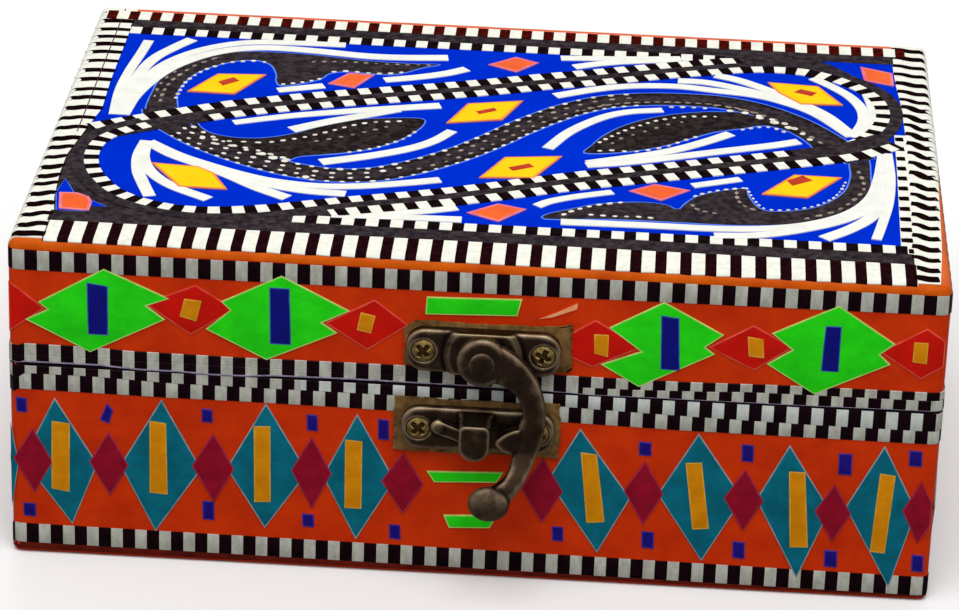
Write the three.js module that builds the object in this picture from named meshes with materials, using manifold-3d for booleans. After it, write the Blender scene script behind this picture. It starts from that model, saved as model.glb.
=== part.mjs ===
// Wooden keepsake box covered in cut adhesive film, with a swing-arm latch and two surface hinges.
// Millimetres. X runs along the front to the right, Y to the back, Z up from the table.
// The origin is the centre of the underside, and the front face looks along -Y.
import * as THREE from "three";
import { mergeVertices } from "three/addons/utils/BufferGeometryUtils.js";
import Module from "manifold-3d";

const wasm = await Module();
wasm.setup();

// Box, measured over its orange film
const boxWidth = 178;
const boxDepth = 127;
const boxHeight = 66.5;
const baseHeight = 40.8;
const seamGap = 0.4;
const wallThickness = 6.5;
const bottomThickness = 5;
const topThickness = 6;
const cornerRadius = 1.8;
const topEdgeRadius = 1.9;
const bottomEdgeRadius = 1.2;
const cornerSteps = 4;
const smallCornerSteps = 2;

// Film, tapes and cut motifs stuck on the wood
const filmThickness = 0.25;
const glueLine = 0.05;
const tapeThickness = 0.25;
const motifLayer = 0.15;
const motifRoot = 0.1;
const tapeWidth = 4.4;
const lidUpperTapeDrop = 2;
const lidLowerTapeRise = 0.2;
const baseUpperTapeDrop = 0.8;
const baseLowerTapeRise = 2;
const baseFilmRise = 0.9;

// Cloth lining
const liningThickness = 1;
const liningGap = 0.2;
const liningRimDrop = 1.5;
const liningCorner = 1.5;

// Top covering: check borders round a blue panel
const topBorderInset = 0.8;
const frontBorderWidth = 8.6;
const backBorderWidth = 6.6;
const sideBorderWidth = 6.4;
const edgeRibbonWidth = 8;
const topStripGap = 0.2;
const longRibbonWidth = 6.6;
const scrollRibbonWidth = 6.2;
const hookRibbonWidth = 4.6;

// Side motifs
const lidMotifStart = 20.5;
const lidMotifPitch = 16.5;
const lidMotifRise = 11.8;
const greenHalfWidth = 12.4;
const greenHalfHeight = 6.4;
const greenOffsetX = 0.9;
const greenOffsetZ = 2.2;
const greenBarWidth = 3.8;
const greenBarHeight = 10;
const redHalfWidth = 7.5;
const redHalfHeight = 4.6;
const redPatchWidth = 2.8;
const redPatchHeight = 3.8;
const baseMotifStart = 13;
const baseMotifPitch = 9.5;
const baseMotifRise = 20.4;
const tealHalfWidth = 7.4;
const tealHalfHeight = 13.4;
const tealBarWidth = 3.4;
const tealBarHeight = 14.4;
const maroonHalfWidth = 4.3;
const maroonHalfHeight = 6.8;
const blueChipWidth = 2.3;
const blueChipHeight = 3.4;
const blueChipSpread = 10.6;
const motifCornerMargin = 2.4;
const hingeMotifMargin = 3;

// Latch, measured outward from the film on the front face
const latchX = 1.7;
const latchZ = 49.1;
const keeperX = 1.1;
const keeperZ = 32.6;
const hardwareSeat = 0.35;
const patchThickness = 0.25;
const patchGap = 0.05;
const patchCorner = 0.6;
const plateWidth = 29.4;
const plateHeight = 8.8;
const plateCornerRadius = 3.6;
const plateEdgeRadius = 0.6;
const latchPlateThickness = 2.2;
const keeperPlateThickness = 1.8;
const latchPatchWidth = 34;
const latchPatchHeight = 11.4;
const latchPatchShift = 1.2;
const keeperPatchWidth = 32;
const keeperPatchHeight = 10.6;
const screwSpacing = 22.7;
const bossRadius = 7.7;
const bossTopRadius = 6.6;
const bossRise = 0.95;
const pivotDrop = 0.4;
const armClearance = 0.15;
const armThickness = 2.8;
const armEdgeRadius = 0.95;
const spurBevel = 0.5;
const armSections = 17;
const armHeadRadius = 4.9;
const armBend = 4.1;
const armBendStart = 17.4;
const armBendLength = 9;
const knobX = 2.3;
const knobZ = -27.5;
const knobForward = 0.8;
const knobHalfWidth = 4;
const knobHalfHeight = 3.7;
const knobHalfDepth = 2.2;
const rivetRadius = 1.3;
const rivetClearance = 0.2;
const rivetHeadRadius = 2.5;
const rivetHeadHeight = 0.9;
const lugShift = -0.35;
const lugWidth = 5.8;
const lugRootWidth = 7;
const lugThickness = 2;
const lugRise = 3.7;
const lugReach = 6.15;
const lugTabThickness = 1.5;
const lugTabDrop = 7.3;
const lugTabCorner = 0.9;
const lugFlareHeight = 1.4;
const ribBumpX = -7.5;
const ribBumpZ = 0.6;
const ribBumpRadius = 1.2;
const ribHeight = 1;
const ribWidth = 1;
const castRoot = 0.5;

// Screws
const screwHeadRadius = 2.2;
const screwShankRadius = 1;
const screwLength = 8;
const screwSinkDepth = 1.3;
const screwDomeHeight = 0.55;
const screwSlotWidth = 0.6;
const screwSlotLength = 2.6;
const screwSlotDepth = 0.7;
const screwClearance = 0.2;
const screwTipLength = 1.6;

// Hinges on the back
const hingeEndInset = 34;
const hingeWidth = 20;
const leafHeight = 9.4;
const leafThickness = 1;
const leafCornerRadius = 1;
const knuckleRadius = 1.6;
const knuckleGap = 0.3;
const middleKnuckleLength = 8.4;
const hingePinRadius = 0.8;
const hingePinClearance = 0.2;
const hingePinHeadRadius = 1.2;
const hingePinHeadLength = 0.6;
const hingeScrewScale = 0.68;
const hingeScrewSpacing = 11;
const hingeScrewDrop = 6.8;

const lidBottom = baseHeight + seamGap;
const seamMiddle = baseHeight + seamGap / 2;
const hingeX = boxWidth / 2 - hingeEndInset;
const woodInset = filmThickness + glueLine;
const woodWidth = boxWidth - 2 * woodInset;
const woodDepth = boxDepth - 2 * woodInset;
const woodHeight = boxHeight - woodInset;
const woodCorner = cornerRadius - woodInset;
const insideWidth = woodWidth - 2 * wallThickness;
const insideDepth = woodDepth - 2 * wallThickness;
const tapeOuter = glueLine + tapeThickness;
const hingeAxisOffset = hardwareSeat + patchGap + knuckleRadius;
const patchFront = hardwareSeat + patchThickness;
const plateBack = patchFront + patchGap;
const latchPlateFront = plateBack + latchPlateThickness;
const keeperPlateFront = plateBack + keeperPlateThickness;
const armBack = latchPlateFront + bossRise + armClearance;
const armFront = armBack + armThickness;

const materials = {
  wood: new THREE.MeshStandardMaterial({ color: "#b98d5a", roughness: 0.75, metalness: 0 }),
  orangeFilm: new THREE.MeshStandardMaterial({ color: "#d4500f", roughness: 0.35, metalness: 0 }),
  blueFilm: new THREE.MeshStandardMaterial({ color: "#0a3ce6", roughness: 0.35, metalness: 0 }),
  checkTape: new THREE.MeshStandardMaterial({ color: "#8c8880", roughness: 0.4, metalness: 0 }),
  darkRibbon: new THREE.MeshStandardMaterial({ color: "#2a1c20", roughness: 0.45, metalness: 0 }),
  khakiFilm: new THREE.MeshStandardMaterial({ color: "#8a6a3c", roughness: 0.5, metalness: 0 }),
  velvet: new THREE.MeshStandardMaterial({ color: "#8a0f22", roughness: 0.95, metalness: 0 }),
  bronze: new THREE.MeshStandardMaterial({ color: "#5a4a3c", roughness: 0.42, metalness: 1 }),
  brass: new THREE.MeshStandardMaterial({ color: "#a08850", roughness: 0.35, metalness: 1 }),
};

// A closed geometry as a solid that can be joined and cut.
function toSolid(geometry) {
  const bare = geometry.index ? geometry.toNonIndexed() : geometry.clone();
  bare.deleteAttribute("normal");
  bare.deleteAttribute("uv");
  const merged = mergeVertices(bare, 1e-4);
  const vertProperties = new Float32Array(merged.attributes.position.array);
  const triVerts = new Uint32Array(merged.index.array);
  return new wasm.Manifold(new wasm.Mesh({ numProp: 3, vertProperties, triVerts }));
}

// A solid back as a geometry.
function toGeometry(solid) {
  const mesh = solid.getMesh();
  const geometry = new THREE.BufferGeometry();
  const positions = new Float32Array(mesh.vertProperties);
  geometry.setAttribute("position", new THREE.BufferAttribute(positions, 3));
  geometry.setIndex(new THREE.BufferAttribute(new Uint32Array(mesh.triVerts), 1));
  geometry.computeVertexNormals();
  return geometry;
}

function join(geometries) {
  return toGeometry(geometries.map(toSolid).reduce((all, next) => all.add(next)));
}

function cut(geometry, cutters) {
  return toGeometry(cutters.map(toSolid).reduce((left, next) => left.subtract(next), toSolid(geometry)));
}

function keepInside(geometry, limit) {
  return toGeometry(toSolid(geometry).intersect(toSolid(limit)));
}

function box(low, high) {
  const size = high.map((value, axis) => value - low[axis]);
  const middle = high.map((value, axis) => (value + low[axis]) / 2);
  return new THREE.BoxGeometry(...size).translate(...middle);
}

// Points of a rectangle with round corners, anticlockwise from the right end of its front edge.
function roundedRectangle(width, depth, radius, steps = cornerSteps) {
  const points = [];
  const centres = [[1, -1, -90], [1, 1, 0], [-1, 1, 90], [-1, -1, 180]];
  for (const [sideX, sideY, start] of centres) {
    for (let step = 0; step <= steps; step++) {
      const angle = THREE.MathUtils.degToRad(start + (90 * step) / steps);
      const x = sideX * (width / 2 - radius) + radius * Math.cos(angle);
      const y = sideY * (depth / 2 - radius) + radius * Math.sin(angle);
      points.push(new THREE.Vector2(x, y));
    }
  }
  return points;
}

// A flat slab with round upright corners and, where asked, a quarter-round upper or lower edge.
function slab({ width, depth, corner, low, high, lowRound = 0, highRound = 0, steps = cornerSteps }) {
  const rings = [];
  const addRing = (inset, z) => {
    const radius = Math.max(corner - inset, 0.05);
    const outline = roundedRectangle(width - 2 * inset, depth - 2 * inset, radius, steps);
    rings.push(outline.map((point) => [point.x, point.y, z]));
  };
  const edgeSteps = 4;
  for (let step = 0; step < edgeSteps && lowRound > 0; step++) {
    const angle = (Math.PI / 2) * (step / edgeSteps);
    addRing(lowRound * (1 - Math.sin(angle)), low + lowRound * (1 - Math.cos(angle)));
  }
  addRing(0, low + lowRound);
  addRing(0, high - highRound);
  for (let step = 1; step <= edgeSteps && highRound > 0; step++) {
    const angle = (Math.PI / 2) * (step / edgeSteps);
    addRing(highRound * (1 - Math.cos(angle)), high - highRound * (1 - Math.sin(angle)));
  }
  return loft(rings);
}

// A closed body through convex rings of points, each anticlockwise seen from the last ring's end.
function loft(rings) {
  const count = rings[0].length;
  const positions = rings.flat(2);
  const faces = [];
  for (let ring = 0; ring < rings.length - 1; ring++) {
    for (let i = 0; i < count; i++) {
      const next = (i + 1) % count;
      const a = ring * count + i;
      const b = ring * count + next;
      faces.push(a, b, b + count, a, b + count, a + count);
    }
  }
  const last = (rings.length - 1) * count;
  for (let i = 1; i < count - 1; i++) {
    faces.push(0, i + 1, i);
    faces.push(last, last + i, last + i + 1);
  }
  const geometry = new THREE.BufferGeometry();
  geometry.setAttribute("position", new THREE.Float32BufferAttribute(positions, 3));
  geometry.setIndex(faces);
  geometry.computeVertexNormals();
  return geometry;
}

// A band that runs round the four sides of the box.
function ringBand(outerWidth, outerDepth, outerCorner, thickness, low, high) {
  const outline = new THREE.Shape(roundedRectangle(outerWidth, outerDepth, outerCorner));
  const innerWidth = outerWidth - 2 * thickness;
  const innerDepth = outerDepth - 2 * thickness;
  const hole = roundedRectangle(innerWidth, innerDepth, outerCorner - thickness);
  outline.holes.push(new THREE.Path(hole.reverse()));
  return new THREE.ExtrudeGeometry(outline, { depth: high - low, bevelEnabled: false }).translate(0, 0, low);
}

// Front (side -1) or back (side 1) board: its two outer upright edges are round.
function longWall(side, low, high) {
  const half = woodWidth / 2;
  const outer = woodDepth / 2;
  const inner = outer - wallThickness;
  const shape = new THREE.Shape();
  shape.moveTo(-half, -inner);
  shape.lineTo(-half, -outer + woodCorner);
  shape.absarc(-half + woodCorner, -outer + woodCorner, woodCorner, Math.PI, 1.5 * Math.PI, false);
  shape.lineTo(half - woodCorner, -outer);
  shape.absarc(half - woodCorner, -outer + woodCorner, woodCorner, 1.5 * Math.PI, 2 * Math.PI, false);
  shape.lineTo(half, -inner);
  shape.closePath();
  const options = { depth: high - low, bevelEnabled: false, curveSegments: cornerSteps };
  const wall = new THREE.ExtrudeGeometry(shape, options).translate(0, 0, low);
  return side < 0 ? wall : wall.rotateZ(Math.PI);
}

// Left or right board, butted between the front and back boards.
function shortWall(side, low, high) {
  const near = side * (woodWidth / 2 - wallThickness);
  const far = side * (woodWidth / 2);
  const halfDepth = woodDepth / 2 - wallThickness;
  return box([Math.min(near, far), -halfDepth, low], [Math.max(near, far), halfDepth, high]);
}

function isLong(side) {
  return side === "front" || side === "back";
}

// Moves geometry drawn on a face (X right, Y up, Z out of the face) to that side of the box.
function onSide(geometry, side) {
  const turns = { front: 0, right: 90, back: 180, left: 270 };
  const reach = (isLong(side) ? boxDepth : boxWidth) / 2;
  geometry.rotateX(Math.PI / 2).translate(0, -reach, 0);
  return geometry.rotateZ(THREE.MathUtils.degToRad(turns[side]));
}

function diamond(x, y, halfWidth, halfHeight) {
  const corners = [[x, y - halfHeight], [x + halfWidth, y], [x, y + halfHeight], [x - halfWidth, y]];
  return new THREE.Shape(corners.map(([cornerX, cornerY]) => new THREE.Vector2(cornerX, cornerY)));
}

function rectangle(x, y, width, height) {
  const corners = [[-1, -1], [1, -1], [1, 1], [-1, 1]];
  return new THREE.Shape(
    corners.map(([sideX, sideY]) => new THREE.Vector2(x + (sideX * width) / 2, y + (sideY * height) / 2)),
  );
}

// A motif cut from film, raised by one or two layers.
function motif(shape, layers) {
  const depth = motifRoot + layers * motifLayer;
  return new THREE.ExtrudeGeometry(shape, { depth, bevelEnabled: false }).translate(0, 0, -motifRoot);
}

// Where the motifs stand along a side: alternating kinds out from the middle, both ways.
function motifPlaces(side, start, pitch) {
  const long = isLong(side);
  const reach = (long ? boxWidth : boxDepth) / 2 - motifCornerMargin;
  const places = long ? [] : [{ x: 0, kind: 1 }];
  const first = long ? start : pitch;
  for (let index = 0; first + index * pitch < reach; index++) {
    const x = first + index * pitch;
    places.push({ x, kind: index % 2 }, { x: -x, kind: index % 2 });
  }
  return places;
}

function clearOfHinges(side, x, halfWidth) {
  const margin = hingeWidth / 2 + halfWidth + hingeMotifMargin;
  return side !== "back" || Math.abs(Math.abs(x) - hingeX) > margin;
}

function lidMotifs(side) {
  const middle = lidBottom + lidMotifRise;
  const shapes = [];
  for (const { x, kind } of motifPlaces(side, lidMotifStart, lidMotifPitch)) {
    if (kind === 1 && clearOfHinges(side, x, greenHalfWidth)) {
      shapes.push([diamond(x + greenOffsetX, middle + greenOffsetZ, greenHalfWidth, greenHalfHeight), 1]);
      shapes.push([diamond(x - greenOffsetX, middle - greenOffsetZ, greenHalfWidth, greenHalfHeight), 1]);
      shapes.push([rectangle(x, middle, greenBarWidth, greenBarHeight), 2]);
    }
    if (kind === 0 && clearOfHinges(side, x, redHalfWidth)) {
      shapes.push([diamond(x, middle, redHalfWidth, redHalfHeight), 1]);
      shapes.push([rectangle(x, middle, redPatchWidth, redPatchHeight), 2]);
    }
  }
  return shapes;
}

function baseMotifs(side) {
  const middle = baseMotifRise;
  const shapes = [];
  for (const { x, kind } of motifPlaces(side, baseMotifStart, baseMotifPitch)) {
    if (kind === 1 && clearOfHinges(side, x, tealHalfWidth)) {
      shapes.push([diamond(x, middle, tealHalfWidth, tealHalfHeight), 1]);
      shapes.push([rectangle(x, middle, tealBarWidth, tealBarHeight), 2]);
    }
    if (kind === 0 && clearOfHinges(side, x, maroonHalfWidth)) {
      shapes.push([diamond(x, middle, maroonHalfWidth, maroonHalfHeight), 2]);
      shapes.push([rectangle(x, middle + blueChipSpread, blueChipWidth, blueChipHeight), 1]);
      shapes.push([rectangle(x, middle - blueChipSpread, blueChipWidth, blueChipHeight), 1]);
    }
  }
  return shapes;
}

// Film with its motifs, the motifs of each side trimmed to its flat band between the check tapes.
function filmWithMotifs(film, motifsOf, bandLow, bandHigh) {
  const motifs = ["front", "right", "back", "left"].map((side) => {
    const flat = (isLong(side) ? boxWidth : boxDepth) / 2 - cornerRadius;
    const band = box([-flat, bandLow, -motifRoot], [flat, bandHigh, 2 * motifLayer]);
    const raised = join(motifsOf(side).map(([shape, layers]) => motif(shape, layers)));
    return onSide(keepInside(raised, band), side);
  });
  return join([film, ...motifs]);
}

const lidUpperTapeTop = boxHeight - lidUpperTapeDrop;
const lidLowerTapeLow = lidBottom + lidLowerTapeRise;
const baseUpperTapeTop = baseHeight - baseUpperTapeDrop;

function lidFilm() {
  const outer = slab({
    width: boxWidth,
    depth: boxDepth,
    corner: cornerRadius,
    low: lidBottom,
    high: boxHeight,
    highRound: topEdgeRadius,
  });
  const inner = slab({
    width: boxWidth - 2 * filmThickness,
    depth: boxDepth - 2 * filmThickness,
    corner: cornerRadius - filmThickness,
    low: lidBottom - 1,
    high: boxHeight - filmThickness,
    highRound: topEdgeRadius - filmThickness,
  });
  const bandLow = lidLowerTapeLow + tapeWidth + glueLine;
  const bandHigh = lidUpperTapeTop - tapeWidth - glueLine;
  return filmWithMotifs(cut(outer, [inner]), lidMotifs, bandLow, bandHigh);
}

function baseFilm() {
  const film = ringBand(boxWidth, boxDepth, cornerRadius, filmThickness, baseFilmRise, baseHeight);
  const bandLow = baseLowerTapeRise + tapeWidth + glueLine;
  const bandHigh = baseUpperTapeTop - tapeWidth - glueLine;
  return filmWithMotifs(film, baseMotifs, bandLow, bandHigh);
}

function checkTape(low) {
  const width = boxWidth + 2 * tapeOuter;
  const depth = boxDepth + 2 * tapeOuter;
  return ringBand(width, depth, cornerRadius + tapeOuter, tapeThickness, low, low + tapeWidth);
}

const panelLow = boxHeight + glueLine;
const panelHigh = panelLow + filmThickness;
const borderHalfWidth = boxWidth / 2 - topEdgeRadius + topBorderInset;
const borderHalfDepth = boxDepth / 2 - topEdgeRadius + topBorderInset;
const innerHalfWidth = borderHalfWidth - sideBorderWidth;
const frontBorderInner = -borderHalfDepth + frontBorderWidth;
const backBorderInner = borderHalfDepth - backBorderWidth;

function topStrip(lowX, highX, lowY, highY) {
  const half = topStripGap / 2;
  return box([lowX + half, lowY + half, panelLow], [highX - half, highY - half, panelHigh]);
}

function splineThrough(points) {
  return new THREE.SplineCurve(points.map(([x, y]) => new THREE.Vector2(x, y)));
}

function ribbonShape(points, width, samples) {
  const curve = splineThrough(points);
  const left = [];
  const right = [];
  for (let index = 0; index <= samples; index++) {
    const at = curve.getPoint(index / samples);
    const along = curve.getTangent(index / samples);
    const across = new THREE.Vector2(-along.y, along.x).multiplyScalar(width / 2);
    left.push(at.clone().add(across));
    right.push(at.clone().sub(across));
  }
  return new THREE.Shape([...right, ...left.reverse()]);
}

// Blue panel with its raised ribbons: two long check ribbons that loop round a corner each,
// a scroll between them and two hooks, every one repeated by a half turn.
function bluePanel() {
  const panel = topStrip(
    -innerHalfWidth,
    innerHalfWidth,
    frontBorderInner + edgeRibbonWidth,
    backBorderInner - edgeRibbonWidth,
  );
  const longRibbon = [
    [-84, -5], [-60, 4.5], [-30, 15], [12, 29.5], [38, 41], [60, 49], [75, 43], [81, 27], [74, 5],
  ];
  const scroll = [[74, 5], [61, 18], [44, 26], [28, 24], [12, 13], [0, 0]];
  const hook = [[-70, 4], [-71, 22], [-62, 35], [-48, 39], [-32, 37], [-15, 37]];
  const strips = [
    [longRibbon, longRibbonWidth, 30],
    [scroll, scrollRibbonWidth, 20],
    [hook, hookRibbonWidth, 18],
  ];
  const raised = strips.flatMap(([points, width, samples]) =>
    [0, Math.PI].map((turn) => {
      const outline = ribbonShape(points, width, samples);
      const options = { depth: motifRoot + motifLayer, bevelEnabled: false };
      const strip = new THREE.ExtrudeGeometry(outline, options);
      return strip.translate(0, 0, panelHigh - motifRoot).rotateZ(turn);
    }),
  );
  const halfWidth = innerHalfWidth - topStripGap;
  const low = frontBorderInner + edgeRibbonWidth + topStripGap;
  const high = backBorderInner - edgeRibbonWidth - topStripGap;
  const field = box([-halfWidth, low, panelLow], [halfWidth, high, panelHigh + motifLayer]);
  return join([panel, keepInside(join(raised), field)]);
}

// A countersunk screw with a domed head, its head at the top of Z and the plate's face at Z = 0.
function screwProfile(scale, growth) {
  const shank = screwShankRadius * scale + growth;
  const head = screwHeadRadius * scale + growth;
  const sink = screwSinkDepth * scale + growth;
  const dome = screwDomeHeight * scale;
  const end = -screwLength * scale - growth;
  return [
    [0, end],
    [shank * 0.3, end],
    [shank, end + screwTipLength * scale],
    [shank, -sink],
    [head, 0],
    [head * 0.62, dome],
    [0, dome],
  ];
}

function latheAlongZ(profile, segments) {
  const points = profile.map(([radius, height]) => new THREE.Vector2(radius, height));
  return new THREE.LatheGeometry(points, segments).rotateX(Math.PI / 2);
}

function screw(scale) {
  const body = latheAlongZ(screwProfile(scale, 0), 12);
  const top = (screwDomeHeight + 0.5) * scale;
  const bottom = (screwDomeHeight - screwSlotDepth) * scale;
  const half = (screwSlotWidth * scale) / 2;
  const reach = (screwSlotLength * scale) / 2;
  const slots = [
    box([-reach, -half, bottom], [reach, half, top]),
    box([-half, -reach, bottom], [half, reach, top]),
  ];
  return cut(body, [join(slots)]);
}

function screwHole(scale) {
  return latheAlongZ(screwProfile(scale, screwClearance), 10);
}

// Screw places on the box, each with the stand-off of the plate face that its head sits in.
const latchScrews = [-1, 1].map((side) => ({
  x: latchX + (side * screwSpacing) / 2,
  z: latchZ,
  face: latchPlateFront,
}));
const keeperScrews = [-1, 1].map((side) => ({
  x: keeperX + (side * screwSpacing) / 2,
  z: keeperZ,
  face: keeperPlateFront,
}));
const leafFace = hardwareSeat + patchGap + leafThickness;
const hingeScrews = (level) =>
  [-1, 1].flatMap((side) =>
    [-1, 1].map((end) => ({
      x: side * hingeX + (end * hingeScrewSpacing) / 2,
      z: seamMiddle + level * hingeScrewDrop,
      face: leafFace,
    })),
  );

function frontHoles(places) {
  return places.map(({ x, z, face }) => onSide(screwHole(1).translate(x, z, face), "front"));
}

function backHoles(places) {
  return places.map(({ x, z, face }) => onSide(screwHole(hingeScrewScale).translate(-x, z, face), "back"));
}

// Plates, patches and the arm are drawn in the face frame: X right, Y up, Z out of the face.
function backingPatch(width, height, shift, centreX, places) {
  const plan = { width, depth: height, corner: patchCorner, steps: smallCornerSteps };
  const patch = slab({ ...plan, low: hardwareSeat, high: patchFront });
  const holes = places.map(({ x, face }) => screwHole(1).translate(x - centreX, 0, face));
  return cut(patch.translate(shift, 0, 0), holes);
}

function plateBody(front) {
  return slab({
    width: plateWidth,
    depth: plateHeight,
    corner: plateCornerRadius,
    low: plateBack,
    high: front,
    highRound: plateEdgeRadius,
  });
}

// The hole for the rivet, run past both faces of what it goes through.
function rivetBore(low, high) {
  const radius = rivetRadius + rivetClearance;
  return latheAlongZ([[0, low - 1], [radius, low - 1], [radius, high + 1], [0, high + 1]], 18);
}

function latchPlate() {
  const bossTop = latchPlateFront + bossRise;
  const bossProfile = [
    [0, plateBack],
    [bossRadius, plateBack],
    [bossRadius, latchPlateFront],
    [bossTopRadius, bossTop],
    [0, bossTop],
  ];
  const boss = latheAlongZ(bossProfile, 32).translate(0, -pivotDrop, 0);
  const limit = slab({
    width: plateWidth,
    depth: plateHeight,
    corner: plateCornerRadius,
    low: plateBack,
    high: bossTop,
    highRound: plateEdgeRadius,
  });
  const bore = rivetBore(plateBack, bossTop);
  const screwHoles = latchScrews.map(({ x, face }) => screwHole(1).translate(x - latchX, 0, face));
  const body = join([plateBody(latchPlateFront), keepInside(boss, limit)]);
  return cut(body, [bore.translate(0, -pivotDrop, 0), ...screwHoles]);
}

function pivotRivet() {
  const headBase = armFront + armClearance;
  const profile = [
    [0, plateBack],
    [rivetRadius, plateBack],
    [rivetRadius, headBase],
    [rivetHeadRadius, headBase],
    [rivetHeadRadius * 0.9, headBase + rivetHeadHeight * 0.55],
    [rivetHeadRadius * 0.55, headBase + rivetHeadHeight * 0.9],
    [0, headBase + rivetHeadHeight],
  ];
  return latheAlongZ(profile, 22);
}

// The crescent blade: round-edged sections carried from the head down between its inner and outer edge.
// Below the spur it comes forward, so that the finger knob stands clear of the keeper's lug.
function armBlade(middle) {
  const inner = splineThrough([
    [0.2, -3.9], [3, -4.3], [5.6, -5.6], [7.3, -7.8], [7.9, -10.6], [7.2, -13.2],
    [6.9, -16.5], [6.3, -18.9], [5.9, -21], [4.8, -22.9], [2.6, -24.4],
  ]);
  const outer = splineThrough([
    [0.6, 4.6], [4.2, 3.1], [7.6, 0.6], [10.3, -2.9], [12, -7.6], [12.4, -12],
    [11.9, -15.9], [10.9, -19], [9.8, -21.8], [8.3, -24.4], [6.1, -27.4],
  ]);
  const rings = [];
  for (let index = 0; index <= armSections; index++) {
    const from = inner.getPoint(index / armSections);
    const to = outer.getPoint(index / armSections);
    const centre = from.clone().add(to).multiplyScalar(0.5);
    const across = to.clone().sub(from).normalize();
    const bend = THREE.MathUtils.smoothstep(-centre.y, armBendStart, armBendStart + armBendLength);
    const forward = middle + armBend * bend;
    const width = from.distanceTo(to);
    const section = roundedRectangle(width, armThickness, armEdgeRadius, smallCornerSteps);
    rings.push(section.map(({ x, y }) => [centre.x + across.x * x, centre.y + across.y * x, forward + y]));
  }
  return loft(rings);
}

// The spur that slides behind the lug's tab, its root inside the blade.
function armSpur() {
  const inset = spurBevel;
  const shape = new THREE.Shape();
  shape.moveTo(8.6, -13.2 - inset);
  shape.splineThru(
    [
      [6.6, -13.5 - inset],
      [5.1, -14.3 - inset],
      [3.5 + inset, -15.3 - inset],
      [2.8 + inset, -16.5],
      [3.5 + inset, -17.7 + inset],
      [5.1, -18.6 + inset],
      [8, -18.9 + inset],
    ].map(([x, y]) => new THREE.Vector2(x, y)),
  );
  shape.closePath();
  const spur = new THREE.ExtrudeGeometry(shape, {
    depth: armThickness - 2 * spurBevel,
    curveSegments: 2,
    bevelThickness: spurBevel,
    bevelSize: spurBevel,
    bevelSegments: 2,
  });
  return spur.translate(0, 0, armBack + spurBevel);
}

function swingArm() {
  const middle = (armBack + armFront) / 2;
  const headProfile = roundedRectangle(2 * armHeadRadius, armThickness, armEdgeRadius, smallCornerSteps)
    .filter((point) => point.x > 0)
    .sort((first, second) => first.y - second.y)
    .map((point) => [point.x, middle + point.y]);
  const head = latheAlongZ([[0, armBack], ...headProfile, [0, armFront]], 24);
  const knob = new THREE.SphereGeometry(1, 16, 10).scale(knobHalfWidth, knobHalfHeight, knobHalfDepth);
  knob.translate(knobX, knobZ, middle + armBend + knobForward);
  return cut(join([armBlade(middle), armSpur(), head, knob]), [rivetBore(armBack, armFront)]);
}

// Keeper: plate, hooked lug for the spur to slide behind, and a cast rib beside it.
function keeperPlate() {
  const lugTop = lugRise;
  const lugFront = keeperPlateFront + lugReach;
  const half = lugWidth / 2;
  const root = keeperPlateFront - castRoot;
  const flareTop = keeperPlateFront + lugFlareHeight;
  const shaftEnd = lugFront - lugTabThickness / 2;
  const shaftShape = new THREE.Shape();
  shaftShape.moveTo(-lugRootWidth / 2, root);
  shaftShape.lineTo(lugRootWidth / 2, root);
  shaftShape.lineTo(half, flareTop);
  shaftShape.lineTo(half, shaftEnd);
  shaftShape.lineTo(-half, shaftEnd);
  shaftShape.lineTo(-half, flareTop);
  shaftShape.closePath();
  const shaft = new THREE.ExtrudeGeometry(shaftShape, { depth: lugThickness, bevelEnabled: false });
  shaft.rotateX(Math.PI / 2).translate(lugShift, lugTop, 0);
  const tabShape = new THREE.Shape();
  tabShape.moveTo(-half, -lugTabDrop + half);
  tabShape.absarc(0, -lugTabDrop + half, half, Math.PI, 2 * Math.PI, false);
  tabShape.lineTo(half, -lugTabCorner);
  tabShape.quadraticCurveTo(half, 0, half - lugTabCorner, 0);
  tabShape.lineTo(-half + lugTabCorner, 0);
  tabShape.quadraticCurveTo(-half, 0, -half, -lugTabCorner);
  tabShape.closePath();
  const tabOptions = { depth: lugTabThickness, bevelEnabled: false, curveSegments: 6 };
  const tab = new THREE.ExtrudeGeometry(tabShape, tabOptions);
  tab.translate(lugShift, lugTop, lugFront - lugTabThickness);
  const bump = latheAlongZ(
    [
      [0, root],
      [ribBumpRadius, root],
      [ribBumpRadius, keeperPlateFront + ribHeight * 0.6],
      [ribBumpRadius * 0.6, keeperPlateFront + ribHeight],
      [0, keeperPlateFront + ribHeight],
    ],
    14,
  ).translate(ribBumpX, ribBumpZ, 0);
  const rib = box(
    [ribBumpX, ribBumpZ - ribWidth, root],
    [lugShift - half + castRoot, ribBumpZ, keeperPlateFront + ribHeight * 0.7],
  );
  const screwHoles = keeperScrews.map(({ x, face }) => screwHole(1).translate(x - keeperX, 0, face));
  return cut(join([plateBody(keeperPlateFront), shaft, tab, bump, rib]), screwHoles);
}

// A cylinder along X.
function rod(radius, lowX, highX, segments) {
  const length = highX - lowX;
  const cylinder = new THREE.CylinderGeometry(radius, radius, length, segments);
  return cylinder.rotateZ(Math.PI / 2).translate((lowX + highX) / 2, 0, 0);
}

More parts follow.
